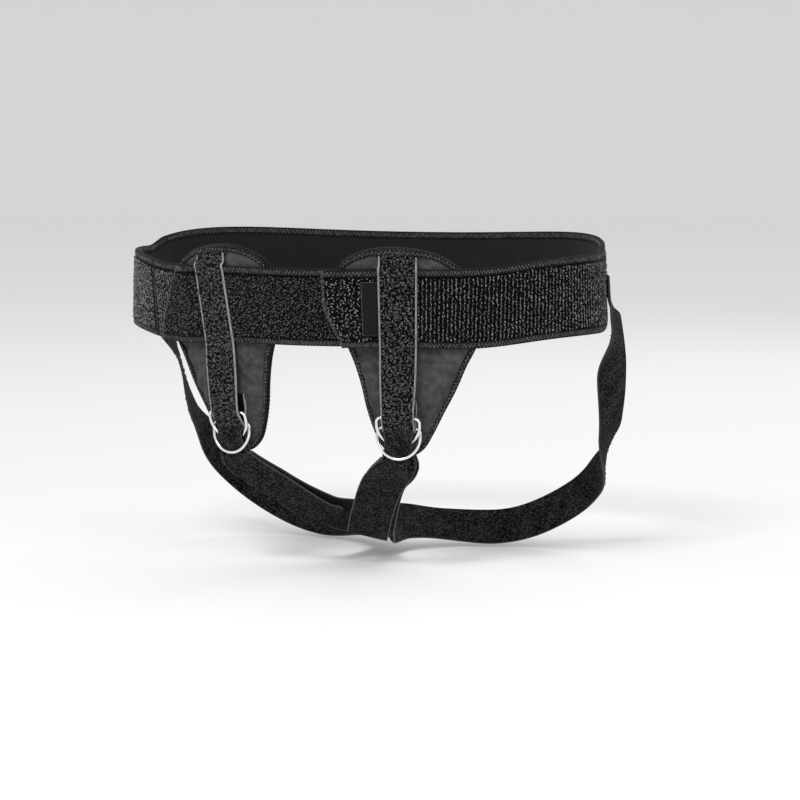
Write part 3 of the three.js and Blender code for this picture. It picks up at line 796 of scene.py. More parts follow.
@dataclass
class WaistBand:
    """The waist band: a front length and a back length that lap at the front and at the right hip."""

    closure_end: float = 17.0
    closure_slant: float = 13.0
    front_tuck: float = 78.0
    lap_end: float = -141.0
    lap_slant: float = 29.0
    back_tuck: float = -104.0
    station: float = 13.0
    lift: float = 3.3
    height: float = 60.0
    straps: tuple[float, float] = (72.0, -79.0)
    strap_half: float = 13.2
    label_from: float = 45.4
    label_to: float = 57.8
    label_half: float = 21.5
    seat: float = 285.0
    seat_half: float = 16.0
    seat_top: float = 5.0
    hip_seam_at: float = -152.0
    hip_seam_half: float = 2.4

    def closure_lift(self, along: Any) -> Any:
        """How far the front closure end stands over the front length."""
        near = self.lift * clamp01((self.front_tuck + self.station - along) / self.station)
        return np.where(np.asarray(along) < HIPS.half_girth, near, 0.0)

    def lap_lift(self, along: Any) -> Any:
        """How far the lap at the right hip stands over the back length."""
        return self.lift * clamp01((self.back_tuck + self.station - np.asarray(along)) / self.station)

    def closure_cut(self, height: Any) -> Any:
        """How far the closure end is cut back at a height."""
        return self.closure_slant * clamp01(-2 * np.asarray(height) / self.height)

    def lap_cut(self, height: Any) -> Any:
        """How far the lap end is cut back at a height."""
        return self.lap_slant * clamp01(0.5 + np.asarray(height) / self.height) ** 1.4

    def clear_front(self, at: Array, height: Array) -> Array:
        """Places on the front length that nothing lies on."""
        clear = at < self.closure_end + self.closure_cut(height) - 0.5
        return clear & (np.abs(at - self.straps[1]) > self.strap_half)

    def clear_back(self, at: Array, height: Array) -> Array:
        """Places on the back length that nothing lies on."""
        whole = 2 * HIPS.half_girth
        clear = at < whole + self.lap_end + self.lap_cut(height) - 0.5
        clear &= np.abs(at - self.straps[0]) > self.strap_half
        clear &= ~((at > self.label_from) & (at < self.label_to) & (np.abs(height) < self.label_half))
        clear &= np.abs(at - whole - self.hip_seam_at) > self.hip_seam_half
        for seat in (self.seat, whole - self.seat):
            clear &= ~((np.abs(at - seat) < self.seat_half) & (height < self.seat_top))
        return clear

    def hip_seam(self) -> Solid:
        """Upright zigzag seam behind the lap at the right hip."""
        levels = np.arange(-23.0, 23.0, 1.9)
        sway = np.where(np.arange(len(levels)) % 2 == 0, 1.3, -1.3)
        along = np.full(len(levels), 2 * HIPS.half_girth + self.hip_seam_at)
        points = HIPS.points(along, levels, 0.25)
        ahead = HIPS.points(along + sway, levels + 0.95, 0.25)
        thread = Thread(length=3.2, rise=0.25, radius=0.3, turn=0.1, spread=0.1)
        places = (points, HIPS.frames(along)[2], ahead - points)
        return sew("hip_seam", "loop_pile", TAPE_THREAD, thread, places)

    def build(self) -> None:
        """Makes both lengths and the seam behind the lap."""
        self.hip_seam()
        BandLength(
            "front_band", self.lap_end, self.front_tuck, self.lap_cut, self.lap_lift, False, self.clear_front,
            creases=(-31.0,), step=1.6, seed=5,
        ).build()
        BandLength(
            "back_band", self.closure_end, 2 * HIPS.half_girth + self.back_tuck, self.closure_cut,
            self.closure_lift, True, self.clear_back, creases=(136.0,), seed=9,
        ).build()


# Pads


# Drop, inner edge and outer edge, as shares of the pad's height and width
PAD_OUTLINE: Table = (
    (0.0, 0.3, 0.47), (0.025, 0.14, 0.68), (0.085, 0.012, 0.84), (0.17, 0.0, 0.965),
    (0.3, 0.0, 1.0), (0.43, 0.03, 0.995), (0.55, 0.095, 0.91), (0.66, 0.14, 0.84),
    (0.77, 0.175, 0.755), (0.87, 0.225, 0.68), (0.945, 0.285, 0.61), (0.99, 0.385, 0.5),
)


def run_along(points: Array) -> Array:
    """Length run so far at each point of a path."""
    return np.concatenate([[0.0], np.cumsum(np.linalg.norm(np.diff(points, axis=0), axis=1))])


def stretch(p: Sequence[Array], shares: Array) -> list[Array]:
    """Points of a centripetal spline between the middle two of four points.

    Args:
        p: The four points.
        shares: Shares of the way between the middle two.

    Returns:
        A point for each share.
    """
    knots = [0.0]
    for before, after in zip(p, p[1:]):
        knots.append(knots[-1] + max(float(np.linalg.norm(after - before)) ** 0.5, 1e-6))

    def between(level: Sequence[Array], reach: int, t: float) -> list[Array]:
        """Blends neighbours whose knots lie a number of steps apart."""
        ends = [(knots[j], knots[j + reach]) for j in range(len(level) - 1)]
        return [((v - t) * a + (t - u) * b) / (v - u) for (u, v), a, b in zip(ends, level, level[1:])]

    found = []
    for t in lerp(knots[1], knots[2], shares):
        a, b = between(between(p, 1, t), 2, t)
        found.append(((knots[2] - t) * a + (t - knots[1]) * b) / (knots[2] - knots[1]))
    return found


def closed_spline(points: Array, count: int) -> Array:
    """Evenly spaced points on a smooth closed curve through the given ones.

    Args:
        points: Points in order round the curve.
        count: How many points to return.

    Returns:
        The points, one row each.
    """
    n, shares = len(points), np.linspace(0, 1, 24, endpoint=False)
    fine = [q for i in range(n) for q in stretch([points[(i + k - 1) % n] for k in range(4)], shares)]
    dense = np.array(fine + [fine[0]])
    run = run_along(dense)
    want = np.linspace(0, run[-1], count, endpoint=False)
    return np.stack([np.interp(want, run, dense[:, k]) for k in range(dense.shape[1])], -1)


def open_spline(points: Array, spacing: float) -> tuple[Array, Array]:
    """Points on a smooth open curve through the given ones.

    Args:
        points: Points in order.
        spacing: Distance between the returned points.

    Returns:
        The points, and the number of the given stretch that each lies on, with its share.
    """
    n = len(points)
    ends = np.concatenate([[2 * points[0] - points[1]], points, [2 * points[-1] - points[-2]]])
    found, where = [], []
    for i in range(n - 1):
        p = ends[i : i + 4]
        pieces = max(1, round(float(np.linalg.norm(p[2] - p[1])) / spacing))
        shares = np.linspace(0, 1, pieces, endpoint=i == n - 2 and pieces == 1)
        found += stretch(p, shares)
        where += (i + shares).tolist()
    if where[-1] < n - 1:
        found.append(points[-1])
        where.append(float(n - 1))
    return np.array(found), np.array(where)


@dataclass
class GroinPad:
    """A groin pad: foam under knit cloth inside a bound edge, pressed flat behind the band."""

    word: str
    side: int
    inner: float = 26.5
    width: float = 108.0
    top: float = 44.5
    height: float = 162.0
    thick: float = 9.0
    rim_thick: float = 3.6
    tape_cover: float = 5.0
    tape_thick: float = 0.9
    front: float = -3.3
    around: int = 132
    swell: float = 1.6
    most_swell: float = 5.0
    strap_lift: float = 2.5
    lift_margin: float = 4.5
    lift_from: float = 28.0
    lift_reach: float = 8.0
    face_gap: float = 0.15
    free_face: float = 2.1
    free_from: float = -34.0
    free_reach: float = 16.0
    strap_at: float = 72.0
    strap_half: float = 14.0
    seed: int = 3

    @property
    def rim(self) -> float:
        """Distance out of the middle of the bound edge."""
        return self.front - 2 * GAP - self.tape_thick - self.rim_thick / 2

    @property
    def centre(self) -> Array:
        """Middle of the pad on its own flat plane."""
        return np.array([0.46 * self.width, -0.4 * self.height])

    def edge(self, count: int) -> Array:
        """Points round the pad's edge on its own flat plane."""
        inner = [(i * self.width, -d * self.height) for d, i, _ in PAD_OUTLINE]
        outer = [(o * self.width, -d * self.height) for d, _, o in PAD_OUTLINE]
        return closed_spline(np.array(inner + outer[::-1], float), count)

    def inset(self, edge: Array, distance: Any) -> Array:
        """Points drawn in from the edge towards the pad's centre."""
        reach = np.linalg.norm(edge - self.centre, axis=-1, keepdims=True)
        return edge + (self.centre - edge) * np.minimum(1.0, distance / reach)

    def wrap(self, flat: Array, out: Any) -> Array:
        """Bends points of the pad's plane round the hip form."""
        return HIPS.points(self.side * (self.inner + flat[..., 0]), self.top + flat[..., 1], out)

    def over_strap(self, flat: Array) -> Array:
        """How far the binding is lifted where it passes over the upright strap's top end."""
        away = np.abs(self.inner + flat[..., 0] - self.strap_at)
        high = smooth((self.top + flat[..., 1] - self.lift_from) / self.lift_reach)
        return self.strap_lift * smooth((self.strap_half + self.lift_margin - away) / self.lift_margin) * high

    def roof(self, flat: Array) -> Array:
        """How far out the pad's face may stand: flush behind the band, freer below it."""
        level = self.top + flat[..., 1]
        freed = smooth((self.free_from - level) / self.free_reach)
        return lerp(self.front - self.face_gap, self.front + self.free_face, freed)

    def cover(self) -> Solid:
        """The cloth-covered foam, swollen by a short cloth simulation inside its bound rim."""
        shares = np.concatenate([[0.0, 0.03, 0.06, 0.1, 0.15], np.linspace(0.21, 0.955, 16)])
        rim = self.inset(self.edge(self.around), self.tape_thick + GAP)
        rings = np.stack([rim + (self.centre - rim) * share for share in shares])
        flat = np.concatenate([rings, rings[::-1]])
        depth = np.concatenate([shares, shares[::-1]])
        face = np.repeat([1.0, -1.0], len(shares))
        swell = smooth(depth / 0.2)[:, None]
        thin = (self.rim_thick / 2) * face[:, None]
        full = (self.thick / 2 - self.swell) * face[:, None]
        middle = lerp(self.rim, self.front - self.thick / 2, swell)
        out = np.broadcast_to(middle + lerp(thin, full, swell), flat.shape[:2])
        order = np.roll(np.arange(len(depth))[::-1], len(shares))
        flat, out = flat[order], out[order]
        points = np.concatenate([flat, out[..., None]], -1).reshape(-1, 3)
        faces = quads(len(flat), self.around, False)
        obj = piece(f"pad_{self.word}_cover", points, faces, [PAD_CLOTH.material()], flat.reshape(-1, 2))
        held = [i for i, share in enumerate(np.repeat(depth[order], self.around)) if share < 0.05]
        self.inflate(obj, held)
        self.seat(obj, flat.reshape(-1, 2))
        soften = obj.modifiers.new("soften", "SUBSURF")
        soften.levels = soften.render_levels = 1
        return carry(obj, "pad_cloth", f"pad_{self.word}")

    def inflate(self, obj: Solid, held: list[int]) -> None:
        """Runs the cloth under pressure with its rim held, and keeps the result.

        Args:
            obj: The flat pad.
            held: Numbers of the points inside the binding.
        """
        group = obj.vertex_groups.new(name="rim")
        group.add(held, 1.0, "REPLACE")
        before = np.empty(3 * len(obj.data.vertices))
        obj.data.vertices.foreach_get("co", before)
        cloth = obj.modifiers.new("cloth", "CLOTH")
        settings = {
            "vertex_group_mass": "rim", "quality": 5, "mass": 0.15, "tension_stiffness": 8,
            "compression_stiffness": 8, "bending_stiffness": 0.4, "shrink_min": -0.035,
            "use_pressure": True, "uniform_pressure_force": 4.0,
        }
        for key, value in settings.items():
            setattr(cloth.settings, key, value)
        cloth.settings.effector_weights.gravity = 0.0
        last = 16
        cloth.point_cache.frame_start, cloth.point_cache.frame_end = 1, last
        for number in range(1, last + 1):
            bpy.context.scene.frame_set(number)
        graph = bpy.context.evaluated_depsgraph_get()
        after = np.empty_like(before)
        obj.evaluated_get(graph).data.vertices.foreach_get("co", after)
        obj.modifiers.clear()
        bpy.context.scene.frame_set(1)
        moved = (after - before).reshape(-1, 3)
        far = np.linalg.norm(moved, axis=1, keepdims=True)
        moved *= np.minimum(1.0, self.most_swell * MM / np.maximum(far, 1e-9))
        obj.data.vertices.foreach_set("co", (before.reshape(-1, 3) + moved).ravel())
        obj.vertex_groups.clear()

    def seat(self, obj: Solid, flat: Array) -> None:
        """Presses the pad flush behind the band and bends it round the hip form."""
        co = np.empty(3 * len(obj.data.vertices))
        obj.data.vertices.foreach_get("co", co)
        co = co.reshape(-1, 3) / MM
        x, y = co[:, 0], co[:, 1]
        wide, deep = x / 6.1 + 1.3 * np.sin(y / 11.0), y / 8.7 + 0.9 * np.sin(x / 9.0) + self.seed
        dents = 0.6 * np.sin(wide) * np.sin(deep)
        dents += 0.35 * np.sin((x * 0.7 + y) / 4.3 + 2.0 * np.sin(x / 13.0))
        front = co[:, 2] > self.rim + 1.0
        co[:, 2] += np.where(front, dents, 0.0)
        bend = 1.2
        soft = self.roof(co[:, :2]) - bend
        over = np.maximum(co[:, 2] - soft, 0.0)
        co[:, 2] = np.where(over > 0, soft + bend * (1 - np.exp(-over / bend)), co[:, 2])
        co[:, 2] = np.maximum(co[:, 2], self.front - self.thick - 0.6)
        bent = self.wrap(co[:, :2], co[:, 2])
        obj.data.vertices.foreach_set("co", (bent * MM).ravel())
        obj.data.update()
        if signed_volume(bent, [tuple(p.vertices) for p in obj.data.polygons]) < 0:
            obj.data.flip_normals()

    def binding(self) -> Solid:
        """The tape folded over the pad's edge all the way round."""
        outer = self.rim_thick / 2 + GAP + self.tape_thick
        inner = self.rim_thick / 2 + GAP
        cover = self.tape_cover
        section = [
            (cover, outer - 0.35), (cover - 0.5, outer + 0.05), (cover - 2.0, outer + 0.25),
            (1.4, outer + 0.1), (0.4, outer - 0.5), (0.0, outer - 1.5), (0.0, -outer + 1.5),
            (0.4, -outer + 0.5), (1.4, -outer), (cover - 0.5, -outer), (cover, -inner),
            (self.tape_thick, -inner), (self.tape_thick, inner), (cover, inner),
        ]
        edge = self.edge(300)
        rows, uv = [], []
        run = np.linspace(0, 440, len(edge), endpoint=False)
        for distance, out in section:
            flat = self.inset(edge, distance)
            lift = self.over_strap(flat) if out > inner + 0.01 else 0.0
            rows.append(self.wrap(flat, self.rim + out + lift))
            uv.append(np.stack([run, np.full(len(edge), distance)], -1))
        points, uv = np.stack(rows, 1), np.stack(uv, 1)
        name = f"pad_binding_{self.word}"
        faces = quads(len(edge), len(section), True)
        obj = piece(f"{name}_folded", points, faces, [TAPE_CLOTH.material()], uv)
        return carry(obj, "edge_tape", name)

    def binding_stitches(self) -> Solid:
        """Zigzag thread along the binding's front, and a second row behind."""
        count, row_in, half_width, half_step = 260, 2.6, 1.25, 0.9
        edge = self.edge(count)
        zig = np.where(np.arange(count) % 2 == 0, half_width, -half_width)[:, None]
        outer = self.rim_thick / 2 + GAP + self.tape_thick
        middle = self.inset(edge, row_in)
        step = unit(np.roll(edge, -1, axis=0) - np.roll(edge, 1, axis=0))
        target = middle + step * half_step + unit(self.inset(edge, row_in + 0.4) - edge) * zig
        facing = HIPS.frames(self.side * (self.inner + middle[:, 0]))[2]
        groups = []
        for out, turn in ((outer + 0.12, 1.0), (-outer - 0.04, -1.0)):
            away = self.rim + out + (self.over_strap(middle) if turn > 0 else 0.0)
            points = self.wrap(middle, away)
            groups.append((points, facing * turn, self.wrap(target, away) - points))
        thread = Thread(length=2.9, rise=0.2, radius=0.28, turn=0.1, spread=0.08, seed=self.seed)
        return sew(f"pad_binding_{self.word}_stitches", "edge_tape", TAPE_THREAD, thread, *groups)

    def build(self) -> None:
        """Makes the cover, the binding and its stitches."""
        self.cover()
        self.binding()
        self.binding_stitches()


# Upright straps, rings and leg straps


@dataclass
class RingFrame:
    """Flat frame at the foot of an upright strap, tangent to the hip form where the rings hang."""

    along: float
    level: float = -95.0
    origin: Array = field(init=False)
    side: Array = field(init=False)
    up: Array = field(init=False)
    out: Array = field(init=False)

    def __post_init__(self) -> None:
        """Sets the frame's axes."""
        self.origin = HIPS.points(self.along, self.level, 0.0)
        _, self.up, _ = HIPS.frames(self.along)
        side = HIPS.points(self.along + 1, self.level, 0.0) - HIPS.points(self.along - 1, self.level, 0.0)
        side = side - self.up * (side @ self.up)
        self.side = unit(side)
        self.out = np.cross(self.side, self.up)

    def at(self, across: Any, height: Any, away: Any) -> Array:
        """Points at places across, up and out in the frame."""
        across, height, away = np.broadcast_arrays(*(np.asarray(v, float) for v in (across, height, away)))
        return (
            self.origin
            + self.side * across[..., None]
            + self.up * (height - self.level)[..., None]
            + self.out * away[..., None]
        )


@dataclass
class DRing:
    """A D-ring of round plated wire: a straight bar above a half circle."""

    name: str
    place: RingFrame
    middle: float
    tilt: float
    wire: float = 2.3
    inside: float = 30.0
    bar_rise: float = 6.0
    corner: float = 3.6
    crossing: float = -101.0
    crossing_out: float = 2.85

    @property
    def radius(self) -> float:
        """Radius of the wire's middle line round the arc."""
        return (self.inside + self.wire) / 2

    @property
    def bar(self) -> float:
        """Height of the bar."""
        return self.middle + self.bar_rise

    def out(self, height: Any) -> Any:
        """How far out the ring's plane is at a height."""
        return self.crossing_out + self.tilt * (np.asarray(height) - self.crossing)

    def build(self) -> Solid:
        """Makes the ring, with the wire's joint left smooth."""
        arc = np.linspace(math.pi, 2 * math.pi, 64)
        path = [np.stack([self.radius * np.cos(arc), self.radius * np.sin(arc)], -1)]
        for side, start in ((1, 0.0), (-1, math.pi / 2)):
            angle = np.linspace(start, start + math.pi / 2, 10)
            x = side * (self.radius - self.corner) + self.corner * np.cos(angle)
            path.append(np.stack([x, self.bar_rise - self.corner + self.corner * np.sin(angle)], -1))
            if side == 1:
                bar = np.linspace(x[-1], -x[-1], 14)[1:-1]
                path.append(np.stack([bar, np.full(len(bar), self.bar_rise)], -1))
        flat = np.concatenate(path)
        height = self.middle + flat[:, 1]
        points = self.place.at(flat[:, 0], height, self.out(height))
        before, after = np.roll(points, 1, 0), np.roll(points, -1, 0)
        run = unit(after - before)
        normal = unit(np.cross(points[0] - points.mean(0), points[20] - points.mean(0)))
        across = unit(np.cross(run, normal))
        angle = np.linspace(0, 2 * math.pi, 16, endpoint=False)
        ring = (
            points[:, None, :]
            + across[:, None, :] * (self.wire / 2 * np.cos(angle))[None, :, None]
            + normal * (self.wire / 2 * np.sin(angle))[None, :, None]
        )
        obj = piece(f"{self.name}_wire", ring, quads(len(points), len(angle), True), [NICKEL.material()])
        return carry(obj, "ring_wire", self.name)


@dataclass
class UprightStrap:
    """A loop-pile strap down over the band and the pad, turned back round both rings' bars."""

    word: str
    top: float
    foot: float
    lift: Callable[[Any], Any]
    place: RingFrame
    rings: tuple[DRing, DRing]
    width: float = 28.0
    foot_width: float = 25.0
    thick: float = 1.8
    strap_top: float = 41.0
    back_top: float = -70.0
    band_height: float = 60.0
    pad_front: float = -3.3
    below_band: float = 18.0
    at_rings: float = 34.0
    seam_levels: tuple[float, float] = (-71.0, -77.5)
    seed: int = 21

    def rows(self) -> Array:
        """Places down the strap's middle line: height, distance out, share of flatness and lift."""
        half = self.thick / 2
        pad, band = self.pad_front + GAP + half, GAP + half
        wrap = self.rings[0].wire / 2 + GAP + half
        upper, lower = [(r.bar, float(r.out(r.bar))) for r in self.rings]
        lean = math.atan2(upper[1] - lower[1], upper[0] - lower[0])
        front, edge = upper[1] + wrap, self.band_height / 2
        rows = [
            (self.strap_top - 0.8, pad - 0.5, 0, 0), (edge + 6, pad, 0, 0),
            (edge + 2.6, lerp(pad, band, 0.3), 0, 0.25), (edge + 1, band + 0.3, 0, 1), (edge - 3, band, 0, 1),
            (edge / 3, band, 0, 1), (-edge / 3, band, 0, 1), (3 - edge, band, 0, 1),
            (-edge - 2, band + 0.4, 0.1, 0.9),
            (-edge - self.below_band, lerp(band, front, 0.4), 0.45, 0.5),
            (-edge - self.at_rings, lerp(band, front, 0.75), 0.8, 0.2), (upper[0] + 7, front - 0.2, 1, 0),
        ]
        for (height, out), begin, end, steps in ((upper, 0.0, -lean, 1), (lower, -lean, -math.pi, 8)):
            for i in range(steps + 1):
                angle = lerp(begin, end, i / steps)
                rows.append((height + wrap * math.sin(angle), out + wrap * math.cos(angle), 1, 0))
        rows.append((lower[0] + 8, lower[1] - wrap, 1, 0))
        rows.append((lerp(lower[0], self.back_top, 0.6), pad + 0.2, 0.5, 0))
        rows.append((self.back_top, pad, 0, 0))
        return np.array(rows, float)

    def middle(self, height: Any) -> Any:
        """Length along the band of the strap's middle line at a height."""
        share = (self.strap_top - height) / (self.strap_top + self.band_height)
        return lerp(self.top, self.foot, clamp01(share))

    def path(self, spacing: float) -> tuple[Array, Array]:
        """Rows along the strap at an even spacing, and their normals in height and out."""
        rows = self.rows()
        places, where = open_spline(rows[:, :2], spacing)
        shares = np.stack([np.interp(where, np.arange(len(rows)), rows[:, k]) for k in (2, 3)], -1)
        run = unit(np.gradient(places, axis=0))
        return np.concatenate([places, shares], 1), np.stack([run[:, 1], -run[:, 0]], -1)

    def points(self, rows: Array, normals: Array, share: Any, offset: Any) -> Array:
        """Points of the strap.

        Args:
            rows: Rows along the strap.
            normals: The rows' normals, in height and out.
            share: Places across the width, from -0.5 to 0.5.
            offset: Distances from the middle of the thickness.

        Returns:
            Points, by row and place across.
        """
        share, offset = np.asarray(share, float)[None, :], np.asarray(offset, float)[None, :]
        height, out, flat, lift = (rows[:, k][:, None] for k in range(4))
        across = share * lerp(self.width, self.foot_width, flat**3)
        along = self.middle(height) + across
        level = height + normals[:, 0][:, None] * offset
        away = out + lift * self.lift(along) + normals[:, 1][:, None] * offset
        on_hips = HIPS.points(along, level, away)
        return lerp(on_hips, self.place.at(across, level, away), flat[..., None])

    def strap(self) -> Solid:
        """The strap itself, its selvages a little thicker than its ground."""
        rows, normals = self.path(1.6)
        half = self.thick / 2
        shares = np.array([-0.5, -0.488, -0.468, -0.45, -0.3, -0.15, 0, 0.15, 0.3, 0.45, 0.468, 0.488, 0.5])
        rise = np.array([0.35, 0.9, 0.9, 0.6, 0.62, 0.65, 0.65, 0.65, 0.62, 0.6, 0.9, 0.9, 0.35]) * half
        share = np.concatenate([shares, shares[::-1]])
        offset = np.concatenate([rise, -rise[::-1]])
        points = self.points(rows, normals, share, offset)
        run = run_along(points[:, len(shares) // 2])
        uv = np.stack(np.broadcast_arrays(share[None, :] * self.width, run[:, None]), -1)
        count = len(share)
        faces = quads(len(rows), count, False)
        edge = {*range(0, 3), *range(9, 15), *range(21, 26)}
        slots = [int(f[0] % count in edge) for f in faces[:-2]] + [0, 0]
        finishes = [LOOP_CLOTH.material(), SELVAGE.material()]
        obj = piece(f"upright_strap_{self.word}_webbing", points, faces, finishes, uv, slots)
        return carry(obj, "strap_pile", f"upright_strap_{self.word}")

    def pile(self) -> Solid:
        """Loops of yarn on the strap's outer face."""
        rng = np.random.default_rng(self.seed)
        rows, normals = self.path(1.9)
        fit = rows[:, 0] > self.rings[1].bar - 4.5
        fit &= np.arange(len(rows)) < np.argmin(rows[:, 0])
        across_count = 12
        groups = []
        for i in np.flatnonzero(fit):
            steps = np.arange(across_count) + rng.uniform(-0.1, 1.1, across_count)
            for share in steps / across_count * 0.86 - 0.43:
                row, normal = rows[i : i + 1].copy(), normals[i : i + 1]
                row[0, 0] += rng.uniform(-1.1, 1.1)
                offset = self.thick * 0.3 + np.array([0.0, 1.0, 0.0])
                here, above, side = self.points(row, normal, [share, share, share + 0.01], offset)[0]
                facing, across = unit(above - here), unit(side - here)
                angle = rng.uniform(0, 2 * math.pi)
                lie = across * math.cos(angle) + np.cross(facing, across) * math.sin(angle)
                groups.append((here[None], facing[None], lie[None]))
        thread = Thread(length=1.35, rise=1.0, radius=0.55, turn=0.4, spread=0.38, seed=self.seed)
        return sew(f"upright_strap_{self.word}_pile", "strap_pile", STRAP_YARN, thread, *groups)

    def seams(self) -> Solid:
        """Rows of stitches across the strap: at its top, and where its turned end is sewn on."""
        rows, normals = self.path(0.5)
        front = rows[: int(np.argmin(rows[:, 0]))]
        share = np.linspace(-0.43, 0.43, 10)
        groups = []
        for level in (self.strap_top - 4.5, self.band_height / 2 - 2.5, *self.seam_levels):
            i = int(np.argmin(np.abs(front[:, 0] - level)))
            here, above = (
                self.points(rows[i : i + 1], normals[i : i + 1], share, np.full(10, self.thick / 2 + rise))[0]
                for rise in (0.12, 1)
            )
            groups.append((here, unit(above - here), np.gradient(here, axis=0)))
        thread = Thread(length=2.1, rise=0.2, radius=0.22, seed=self.seed)
        return sew(f"upright_strap_{self.word}_seams", "strap_pile", TAPE_THREAD, thread, *groups)

    def build(self) -> None:
        """Makes the strap, its pile and its seams."""
        self.strap()
        self.pile()
        self.seams()


class StrapEnd(Enum):
    """How the free end of a leg strap is cut."""

    ROUND = "round"
    SQUARE = "square"


# Places along the leg straps, as shares of the hips' half width, their back depth and the strap's
# fall, each with the direction that the strap's face looks in
LEG_BACK: Table = (
    (0.06, 0.47, 0.915, -0.8, 0.25, -0.55), (0.19, 0.76, 0.945, -0.3, 0.65, -0.7),
    (0.4, 0.9, 0.955, 0.0, 0.8, -0.6), (0.62, 0.93, 0.885, 0.25, 0.85, -0.45),
    (0.82, 0.86, 0.74, 0.55, 0.78, -0.25), (0.935, 0.6, 0.52, 0.93, -0.3, -0.05),
    (0.965, 0.46, 0.29, 0.87, -0.48, 0.0),
)
LEFT_LOAD = (
    (0.232, -0.62, 0.676, 0.05, -0.78, -0.62), (0.15, -0.41, 0.795, 0.0, -0.72, -0.69),
    (0.078, -0.12, 0.885, -0.35, -0.5, -0.75), (0.05, 0.2, 0.912, -0.9, -0.05, -0.42),
)
LEFT_FREE = (
    (0.075, -0.285, 0.917, 0.05, -0.68, -0.7), (0.137, -0.46, 0.818, 0.05, -0.75, -0.65),
    (0.222, -0.645, 0.692, 0.08, -0.8, -0.6),
)
RIGHT_LOAD = (
    (0.215, -0.635, 0.7, 0.1, -0.8, -0.6), (0.11, -0.41, 0.787, 0.0, -0.85, -0.55),
    (0.045, -0.13, 0.85, -0.5, -0.72, -0.45), (0.05, 0.2, 0.87, -0.9, -0.05, -0.42),
)
RIGHT_FREE = (
    (0.052, -0.33, 0.86, -0.15, -0.85, -0.5), (0.115, -0.47, 0.81, 0.05, -0.85, -0.55),
    (0.2, -0.64, 0.725, 0.1, -0.8, -0.6),
)


